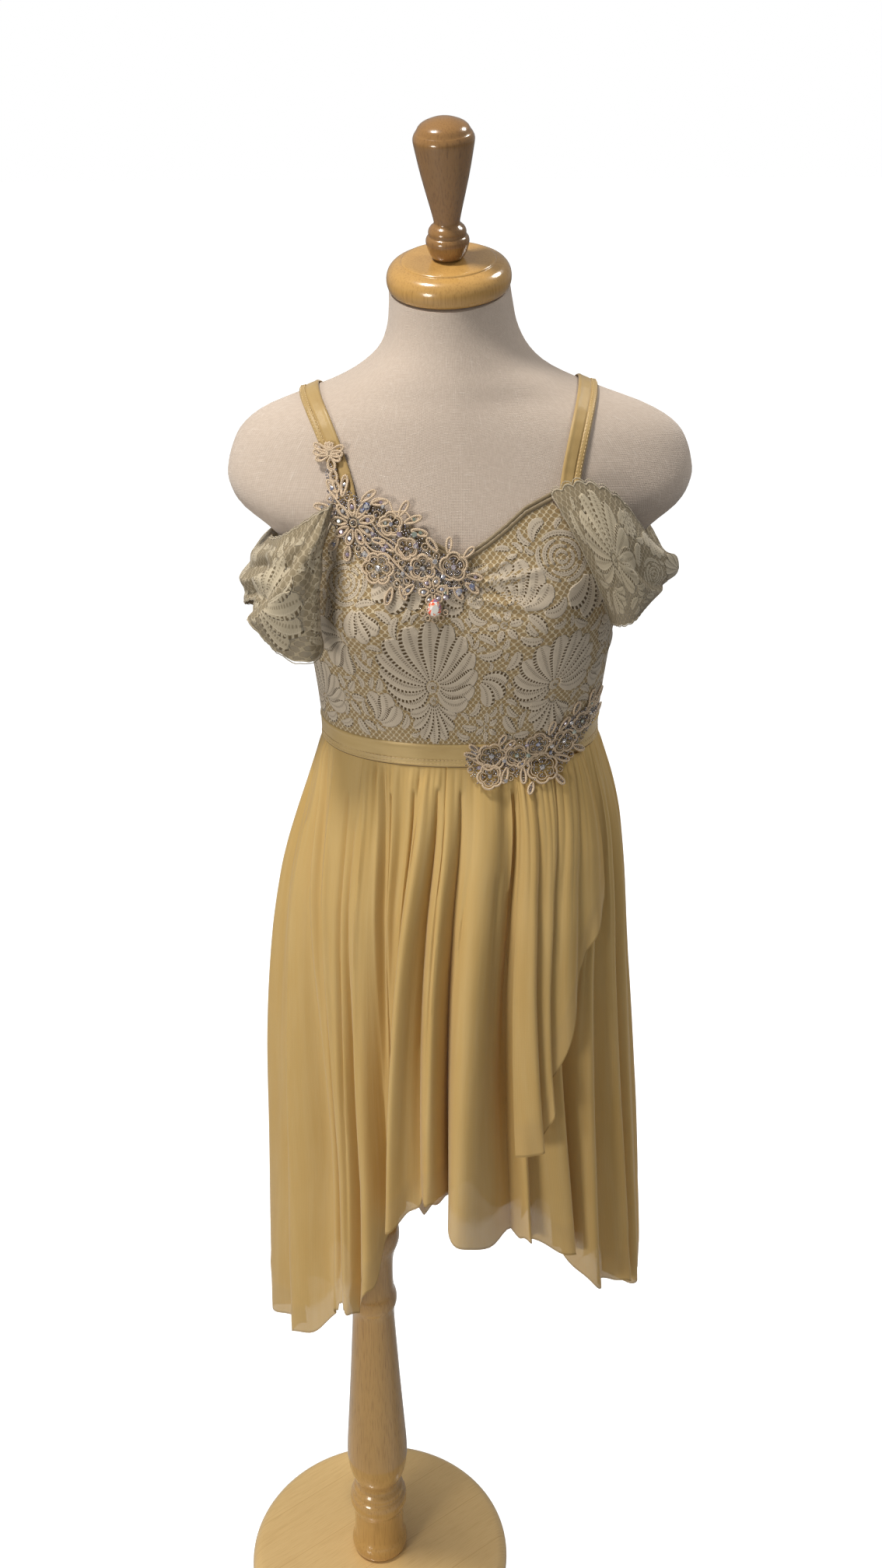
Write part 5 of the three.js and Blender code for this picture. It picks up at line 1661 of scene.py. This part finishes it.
def sleeve(name, drape, node, flowers):
    columns, rows = 210, 50
    up = np.linspace(0, 1, rows)[None, :]
    x = mix(drape.front(up * DRAPE_WIDTH), DRAPE_LENGTH, np.linspace(0, 1, columns)[:, None])
    if drape.side < 0:
        x = x[::-1]
    low, top = drape.bounds(x)
    z = mix(low, top, up)
    grid = drape.at(x, z, 0)
    uv = np.stack([x, z], -1)
    thing = place(shell(name, grid, np.float64(0.5), uv, SLEEVE_LACE), "stretch_lace", node)
    motifs = Motifs(drape.at, drape.inside, (0, 0, DRAPE_LENGTH, DRAPE_WIDTH), drape.seed)
    for kind, *values in flowers:
        getattr(motifs, kind)(*values)
    motifs.sprays(1500, 26, 16)
    motifs.fill(3600, 20, 8)
    petals = place(motifs.build(name + "_motifs", SLEEVE_MOTIF, 0.5), "stretch_lace")
    heap = Heap()
    for line, edge, away in ((x[:, 0], low[:, 0], -1), (x[:, -1], top[:, -1], 1)):
        for lift, radius, wave in ((0.0, 0.6, 0.0), (0.8, 0.4, 0.9)):
            heights = edge + away * (lift + wave * np.abs(np.sin(math.pi * line / 3.1)))
            path = drape.at(line, heights, 0.4)
            tube(heap, path, drape.at(line, heights, 3) - path, radius, 6)
    front = -1 if drape.side < 0 else 0
    path = drape.at(x[front], z[front], 0.4)
    tube(heap, path, drape.at(x[front], z[front], 3) - path, 0.6, 6)
    edging = place(heap.build(name + "_edging", SLEEVE_MOTIF), "stretch_lace")


sleeve("lace_sleeve_left", Drape(LEFT_DRAPE, -1, LEFT_FOLDS, LEFT_LAPS, LEFT_CUT, LEFT_FREE, 1.2, 31), "sleeve_left", [
    ("fan", 70, 34, 30, 9, 30, 220, 34), ("rose", 130, 46, 17, 0), ("fan", 190, 28, 30, 9, 0, 220, 34),
    ("rose", 250, 44, 16, 40), ("blossom", 292, 34, 13, 6, 10)])
sleeve("lace_sleeve_right", Drape(RIGHT_DRAPE, 1, RIGHT_FOLDS, RIGHT_LAPS, RIGHT_CUT, RIGHT_FREE, 2.2, 32), "sleeve_right", [
    ("fan", 44, 44, 32, 11, -40, 250, 34), ("rose", 104, 36, 17, 20), ("fan", 160, 36, 30, 9, 20, 220, 34),
    ("rose", 222, 44, 17, 10), ("fan", 276, 30, 28, 9, 10, 220, 30)])


# ---------------------------------------------------------------- appliques
def angle_of(x, z):
    """The angle round the bodice of a place that is x to the right of the torso's middle."""
    x, z = np.broadcast_arrays(np.asarray(x, float), np.asarray(z, float))
    left, right = np.full(x.shape, -97.0), np.full(x.shape, 97.0)
    for _ in range(22):
        middle = (left + right) / 2
        short = off_torso(middle, z, np.full(x.shape, EASE))[..., 0] - TORSO_X < x
        left, right = np.where(short, middle, left), np.where(short, right, middle)
    return left


def on_neckline(x, z, off):
    """Low on the lace, higher where the trim crosses the binding, low again on the form."""
    angle = angle_of(x, z)
    above = z - upper_edge(angle)
    rest = 4.3 + 1.9 * ramp((above + 14) / 9) - 2.0 * ramp((above - 9) / 8)
    return off_torso(angle, z, rest + off)


def on_waist(x, z, off):
    angle = angle_of(x, z)
    flare = 0.4 * np.maximum(0, WAIST_BOTTOM + 6 - z)
    rest = 3.9 - 0.4 * ramp((z - WAIST_TOP) / 5)
    return off_torso(angle, z, rest + flare + off)


class Trim:
    """Corded lace with stones: cords, stones and beads are gathered first, then laid on."""

    def __init__(self, at, seed):
        self.at, self.draw = at, random.Random(seed)
        self.cords, self.stones, self.beads = [], [], []

    def cord(self, points, radius=0.62, closed=False, lift=0.7):
        self.cords.append((np.asarray(points, float), radius, closed, lift))

    def loop(self, x, z, heading, length, width, filling=None, hue=0):
        """A teardrop of double cord that starts at x, z."""
        turn = np.linspace(0, 2 * math.pi, max(16, int(length * 2.2)), endpoint=False)
        for scale, radius, lift in ((1.0, 0.85, 0.9), (0.7, 0.5, 0.6)):
            along = length * (0.5 - 0.5 * scale * np.cos(turn))
            across = scale * width / 2 * np.sin(turn) * (0.45 + 0.55 * np.sin(turn / 2))
            c, s = math.cos(heading * RAD), math.sin(heading * RAD)
            points = np.stack([x + along * c - across * s, z + along * s + across * c], -1)
            self.cord(points, radius, True, lift)
        cx, cz = x + 0.56 * length * c, z + 0.56 * length * s
        if filling == "stone":
            self.stone(cx, cz, min(width * 0.3, length * 0.26), hue)
        elif filling == "beads":
            for k in (0.34, 0.5, 0.66, 0.8):
                self.bead(x + k * length * c, z + k * length * s)

    def bloom(self, x, z, size, lobes, turn, hue=0):
        """A lobed flower filled with beads round a stone."""
        around_it = np.linspace(0, 2 * math.pi, int(size * 7), endpoint=False)
        for scale, radius, lift in ((1.0, 0.95, 1.0), (0.78, 0.5, 0.7)):
            lobe = 0.76 + 0.24 * np.abs(np.cos(lobes / 2 * (around_it - turn * RAD))) ** 0.6
            r = size * scale * lobe
            points = np.stack([x + r * np.cos(around_it), z + r * np.sin(around_it)], -1)
            self.cord(points, radius, True, lift)
        for k in range(lobes):
            a = turn * RAD + 2 * math.pi * (k + 0.5) / lobes
            inner, outer = size * 0.3, size * 0.72
            self.cord([(x + r * math.cos(a), z + r * math.sin(a)) for r in
                       np.linspace(inner, outer, 4)], 0.4, False, 0.7)
            a = turn * RAD + 2 * math.pi * k / lobes
            for r in (0.42, 0.6):
                self.bead(x + size * r * math.cos(a), z + size * r * math.sin(a))
            if size > 9:
                for swing in (-0.2, 0.2):
                    self.bead(x + size * 0.58 * math.cos(a + swing),
                              z + size * 0.58 * math.sin(a + swing))
        self.stone(x, z, max(1.4, size * 0.2), hue)

    def daisy(self, x, z, size, petals, turn, hues):
        """Open loops round a ring, each with a stone."""
        for k in range(petals):
            heading = turn + 360 * k / petals
            px = x + size * 0.3 * math.cos(heading * RAD)
            pz = z + size * 0.3 * math.sin(heading * RAD)
            self.loop(px, pz, heading, size * 0.72, size * 3.4 / petals, "stone",
                      hues[k % len(hues)])
        ring = np.linspace(0, 2 * math.pi, 16, endpoint=False)
        points = np.stack([x + size * 0.17 * np.cos(ring), z + size * 0.17 * np.sin(ring)], -1)
        self.cord(points, 0.55, True, 1.0)
        self.bead(x, z)

    def scroll(self, points, radius=0.75):
        """A cord along a given curve."""
        rows = [(k, *point) for k, point in enumerate(points)]
        at = np.linspace(0, len(points) - 1, 9 * len(points))
        self.cord(np.stack([smooth(rows, 1, at), smooth(rows, 2, at)], -1), radius, False, 0.85)

    def stone(self, x, z, radius, hue=0):
        self.stones.append((x, z, radius, hue))

    def bead(self, x, z, radius=0.72):
        self.beads.append((x, z, radius))

    def frame_at(self, x, z):
        """Origin, two level directions and the way out, at places on the surface."""
        origin = self.at(x, z, np.zeros(np.shape(x)))
        right = unit(self.at(x + 0.5, z, 0.0) - origin)
        out = unit(self.at(x, z, 1.0) - origin)
        up = unit(np.cross(out, right))
        return origin, np.cross(up, out), up, out

    def net(self, spine, tries):
        """Small rings and beads wherever the spine's rows (x, z, reach) leave room."""
        rows = [(k, *row) for k, row in enumerate(spine)]
        taken = np.concatenate([c[0] for c in self.cords])
        spots = [(x, z) for x, z, _, _ in self.stones] + [(x, z) for x, z, _ in self.beads]
        taken = np.concatenate([taken, np.array(spots)])
        for _ in range(tries):
            at = self.draw.uniform(0, len(rows) - 1)
            reach = float(smooth(rows, 3, at))
            turn = self.draw.uniform(0, 2 * math.pi)
            away = reach * math.sqrt(self.draw.random())
            x = float(smooth(rows, 1, at)) + away * math.cos(turn)
            z = float(smooth(rows, 2, at)) + away * math.sin(turn)
            near = float(np.hypot(taken[:, 0] - x, taken[:, 1] - z).min())
            if near < 1.05:
                continue
            if near > 2.4:
                size = min(near - 0.5, 2.5)
                ring = np.linspace(0, 2 * math.pi, 12, endpoint=False)
                points = np.stack([x + size * np.cos(ring), z + size * np.sin(ring)], -1)
                self.cord(points, 0.45, True, 0.4)
                taken = np.concatenate([taken, points, [(x, z)]])
                self.bead(x, z, 0.8)
            else:
                self.bead(x, z, self.draw.uniform(0.6, 0.85))
                taken = np.concatenate([taken, [(x, z)]])

    def build(self, name, node):
        heap = Heap()
        flat = np.concatenate([c[0] for c in self.cords])
        lifts = np.concatenate([np.full(len(c[0]), c[3]) for c in self.cords])
        paths = self.at(flat[:, 0], flat[:, 1], lifts)
        above = self.at(flat[:, 0], flat[:, 1], lifts + 1)
        start = 0
        for points, radius, closed, _ in self.cords:
            end = start + len(points)
            tube(heap, paths[start:end], above[start:end] - paths[start:end], radius, 6, closed)
            start = end
        cords = place(heap.build(name + "_cord", CORD), "corded_lace", node)
        heap = Heap()
        x, z, radius, hue = (np.array(column, float) for column in zip(*self.stones))
        frames = zip(*self.frame_at(x, z), radius, hue)
        for origin, right, up, out, r, tint in frames:
            gem(heap, origin, right, up, out, r, tint, self.draw)
        stones = place(heap.build(name + "_stones", STONE, smooth_shade=False), "crystal")
        heap = Heap()
        x, z, radius = (np.array(column, float) for column in zip(*self.beads))
        for origin, right, up, out, r in zip(*self.frame_at(x, z), radius):
            ball(heap, origin + out * 0.9, right, up, out, r, self.draw)
        beads = place(heap.build(name + "_beads", BEAD), "crystal")
        return [cords, stones, beads]


def gem(heap, origin, right, up, out, radius, hue, draw, sides=8, outline=None, lift=0.8):
    """A cut stone: a table, two rings of facets and a girdle."""
    outline = outline or [1.0] * sides
    sides = len(outline)
    rings = ((1.0, 0.0, 0.0), (1.0, 0.28, 0.0), (0.82, 0.52, 0.5), (0.5, 0.72, 0.0))
    points = []
    for scale, height, shift in rings:
        for k in range(sides):
            a = 2 * math.pi * (k + shift) / sides
            r = radius * scale * mix(outline[k], outline[(k + 1) % sides], shift)
            points.append(origin + right * (r * math.cos(a)) + up * (r * math.sin(a))
                          + out * (lift + height * radius))
    for j in range(len(rings) - 1):
        for k in range(sides):
            n = (k + 1) % sides
            here, there = j * sides, (j + 1) * sides
            for face in ((here + k, here + n, there + k), (here + n, there + n, there + k)):
                # the first number is a random painted light value: high is painted as a glint, low as a dark
                # reflection
                shade = (draw.random(), hue)
                heap.add([points[i] for i in face], [(0, 1, 2)], [shade] * 3)
    # the table gets a high painted light value, a painted glint; the underside gets 0, painted dark
    top = (len(rings) - 1) * sides
    heap.add([points[top + k] for k in range(sides)], [tuple(range(sides))],
             [(draw.uniform(0.6, 1.0), hue)] * sides)
    heap.add([points[k] for k in range(sides)], [tuple(range(sides))[::-1]], [(0, hue)] * sides)


def ball(heap, origin, right, up, out, radius, draw):
    points, sides = [origin - out * radius], 6
    for lat in (-0.5, 0.5):
        for k in range(sides):
            a = 2 * math.pi * (k + lat) / sides
            flat = radius * math.cos(lat)
            points.append(origin + right * (flat * math.cos(a)) + up * (flat * math.sin(a))
                          + out * (radius * math.sin(lat)))
    points.append(origin + out * radius)
    faces = []
    for k in range(sides):
        n = (k + 1) % sides
        faces += [(0, 1 + n, 1 + k), (1 + k, 1 + n, 7 + n, 7 + k), (7 + k, 7 + n, 13)]
    heap.add(points, faces, [(draw.random(), draw.random())] * len(points))


def neck_trim():
    trim = Trim(on_neckline, 3)
    # bow at the strap, and the chain that hangs from it
    for heading, length in ((152, 13), (176, 12), (204, 11), (28, 12), (4, 10), (-24, 9)):
        trim.loop(-98, 1238, heading, length, 5.2)
    for heading in (70, 92, 112):
        trim.loop(-98, 1239, heading, 7, 2.4)
    for z, size in ((1231, 4.6), (1223, 4.2), (1215.5, 4.0)):
        trim.loop(-97.0 + (1231 - z) * 0.22, z + size, -84, size * 2, size * 1.5)
        trim.bead(-97.0 + (1231 - z) * 0.22, z)
    # first flower and its leaves
    trim.daisy(-80, 1191, 16, 9, 14, (2, 1, 2, 0, 3))
    for x, z, heading, length, width, hue in (
            (-92, 1207, 120, 15, 5.5, 1), (-88, 1209, 82, 15, 5.5, 0), (-96, 1200, 172, 14, 5.2, 0),
            (-74, 1206, 38, 13, 5.0, 0), (-66, 1205, 8, 12, 4.6, 2), (-92, 1180, 236, 11, 5.5, 1),
            (-84, 1174, 262, 11, 6.0, 2), (-73, 1174, 292, 11, 6.0, 0), (-62, 1190, 16, 11, 5.0, 3)):
        trim.loop(x, z, heading, length, width, "stone", hue)
    # middle: a cluster, two filled flowers and their leaves
    trim.bloom(-52, 1191, 8.5, 5, 20, 1)
    trim.bloom(-62, 1159, 11.5, 6, 0, 0)
    trim.bloom(-41, 1174, 8.0, 5, 50, 2)
    trim.bloom(-29, 1160, 9.5, 6, 30, 0)
    trim.bloom(-6, 1161, 10.5, 5, 18, 2)
    trim.daisy(-22, 1144, 10, 6, 8, (1, 0, 2))
    for x, z, heading, length, width, hue in (
            (-46, 1197, 58, 12, 5, 0), (-42, 1192, 20, 13, 5, 3), (-37, 1187, -14, 12, 5, 3),
            (-52, 1146, 250, 13, 5.5, 0), (-46, 1147, 292, 10, 4.5, 0), (-36, 1148, 220, 10, 5, 1),
            (-18, 1172, 128, 12, 5, 0), (-10, 1171, 84, 11, 4.6, 0), (2, 1168, 44, 10, 4.6, 0),
            (4, 1155, -12, 12, 4.8, 2), (3, 1149, -34, 12, 5, 1), (-6, 1146, -52, 11, 5, 1),
            (-12, 1148, 264, 10, 4.5, 3), (-50, 1172, 150, 12, 5, 2), (-56, 1178, 170, 10, 4.5, 0)):
        trim.loop(x, z, heading, length, width, "beads" if hue == 0 else "stone", hue)
    trim.scroll([(-97, 1212), (-90, 1204), (-84, 1199), (-70, 1196), (-60, 1184), (-50, 1178),
                 (-40, 1166), (-28, 1170), (-16, 1158), (-4, 1152), (6, 1154)])
    trim.scroll([(-74, 1180), (-66, 1172), (-56, 1170), (-48, 1162), (-36, 1152), (-24, 1154),
                 (-14, 1146), (0, 1146)])
    trim.scroll([(-70, 1198), (-64, 1208), (-54, 1207), (-50, 1200), (-42, 1200), (-36, 1194)])
    for x, z, radius, hue in (
            (-70, 1203, 3.2, 1), (-35, 1184, 2.4, 3), (-58, 1203, 1.8, 0), (-72, 1169, 2.4, 0),
            (-34, 1176, 2.2, 2), (-46, 1184, 2.2, 2), (-58, 1173, 2.2, 2), (-20, 1165, 2.2, 0),
            (-14, 1154, 2.0, 1), (-38, 1160, 2.0, 1), (8, 1147, 2.4, 1), (-2, 1143, 2.6, 1),
            (-12, 1139, 2.2, 2), (-44, 1156, 1.9, 0), (-66, 1184, 1.9, 2)):
        trim.stone(x, z, radius, hue)
    trim.net([(-97, 1228, 4), (-94, 1213, 6), (-84, 1198, 14), (-70, 1186, 19), (-56, 1178, 21),
              (-40, 1166, 20), (-24, 1158, 17), (-8, 1153, 13), (3, 1151, 7)], 3600)
    trim.build("neck_applique", "applique_neckline")


def waist_trim():
    trim = Trim(on_waist, 4)
    trim.bloom(24, 1002, 11.5, 6, 10, 0)
    trim.bloom(22, 986, 9.5, 5, 40, 0)
    trim.bloom(44, 1001, 9.5, 5, 0, 3)
    trim.bloom(63, 989, 12.0, 6, 20, 0)
    trim.bloom(61, 1009, 10.0, 5, 8, 1)
    trim.bloom(82, 1007, 10.5, 6, 0, 0)
    trim.bloom(97, 1020, 8.5, 5, 30, 3)
    for x, z, heading, length, width, hue in (
            (14, 1001, 160, 12, 5, 0), (14, 1006, 136, 10, 4.5, 0), (30, 1012, 60, 10, 4.5, 0),
            (36, 992, 250, 12, 5, 0), (34, 1008, 40, 11, 4.5, 2), (48, 991, 268, 12, 5, 0),
            (52, 996, 210, 9, 4.5, 1), (54, 979, 250, 9, 4.5, 0), (72, 982, 300, 10, 4.5, 0),
            (74, 996, 330, 12, 5, 0), (70, 1016, 70, 12, 5, 0), (78, 1018, 50, 13, 5, 2),
            (90, 1000, 320, 10, 4.5, 0), (90, 1029, 70, 11, 5, 0), (100, 1027, 50, 13, 5, 3),
            (104, 1018, 20, 12, 4.5, 0), (103, 1031, 75, 14, 4.5, 0), (107, 1028, 60, 15, 4.2, 0)):
        trim.loop(x, z, heading, length, width, "beads" if hue == 0 else "stone", hue)
    trim.scroll([(6, 1003), (14, 996), (26, 994), (36, 1001), (50, 993), (60, 1000), (72, 1000),
                 (84, 1016), (96, 1011), (104, 1024)])
    for x, z, radius, hue in (
            (34, 997, 2.0, 0), (14, 993, 1.8, 2), (53, 1000, 2.2, 3), (72, 1005, 2.0, 0),
            (71, 999, 1.8, 1), (90, 1013, 2.2, 3), (88, 1022, 1.9, 0), (52, 1010, 1.8, 2),
            (34, 982, 1.8, 0), (104, 1024, 1.8, 0)):
        trim.stone(x, z, radius, hue)
    trim.net([(10, 1002, 6), (22, 995, 17), (42, 999, 14), (62, 998, 20), (82, 1009, 15),
              (98, 1020, 11), (106, 1027, 6)], 3200)
    trim.build("waist_applique", "applique_waist")


PEAR = (0.82, 0.84, 0.94, 1.18, 0.94, 0.84, 0.82, 0.9, 0.98, 1.0, 0.98, 0.9)


def crystal_drop():
    """A pear-cut stone in a corded setting, with small loops under it."""
    draw = random.Random(12)
    angle = np.full(1, float(DROP_ANGLE))
    origin = off_torso(angle, np.full(1, float(DROP_Z)), np.full(1, EASE + CLOTH + 0.6))[0]
    above = off_torso(angle, np.full(1, float(DROP_Z)), np.full(1, EASE + CLOTH + 1.6))[0]
    right_of = off_torso(angle + 0.5, np.full(1, float(DROP_Z)), np.full(1, EASE + CLOTH + 0.6))[0]
    out = unit(above - origin)
    up = unit(np.cross(out, unit(right_of - origin)))
    right = np.cross(up, out)
    heap = Heap()
    gem(heap, origin, right, up, out, DROP_RADIUS * 1.15, 0, draw, outline=list(PEAR), lift=0.4)
    place(heap.build("pear_crystal", DROP_STONE, smooth_shade=False), "crystal", "pendant_crystal")
    heap = Heap()
    turn = np.linspace(0, 2 * math.pi, 40, endpoint=False)
    radius = DROP_RADIUS * 1.25 * np.interp(turn, np.arange(13) * math.pi / 6, (*PEAR, PEAR[0]))
    path = (origin + right * (radius * np.cos(turn))[:, None] + up * (radius * np.sin(turn))[:, None]
            + out * 0.9)
    tube(heap, path, np.broadcast_to(out, path.shape), 0.55, 6, closed=True)
    for k in range(5):
        a = (-90 + 34 * (k - 2)) * RAD
        middle = origin + right * (9.2 * math.cos(a)) + up * (9.2 * math.sin(a)) + out * 0.7
        ring = np.linspace(0, 2 * math.pi, 14, endpoint=False)
        path = middle + right * (1.9 * np.cos(ring))[:, None] + up * (1.9 * np.sin(ring))[:, None]
        tube(heap, path, np.broadcast_to(out, path.shape), 0.45, 6, closed=True)
    place(heap.build("pear_setting", CORD), "corded_lace")


def drop_paint():
    """Clear cut crystal, its light painted on the facets: red and orange painted fire, white painted glints and a
    violet painted flash.
    """
    paint = Paint("crystal_drop", Metallic=0.15, Roughness=0.06, Coat_Weight=1.0,
                  Coat_Roughness=0.02, Specular_IOR_Level=0.8)
    painted_facet_light, hue = paint.cloth()
    # painted light: the lowest values are painted as red and orange fire, then white glints, the highest a violet
    # flash
    tone = paint.blend(painted_facet_light.between(0.16, 0.2), rgb(255, 92, 52), rgb(255, 160, 120))
    tone = paint.blend(painted_facet_light.between(0.34, 0.38), tone, rgb(255, 252, 244))
    paint.colour(paint.blend(painted_facet_light.between(0.88, 0.92), tone, rgb(170, 132, 178)))
    return paint.material


DROP_STONE = drop_paint()
neck_trim()
waist_trim()
crystal_drop()

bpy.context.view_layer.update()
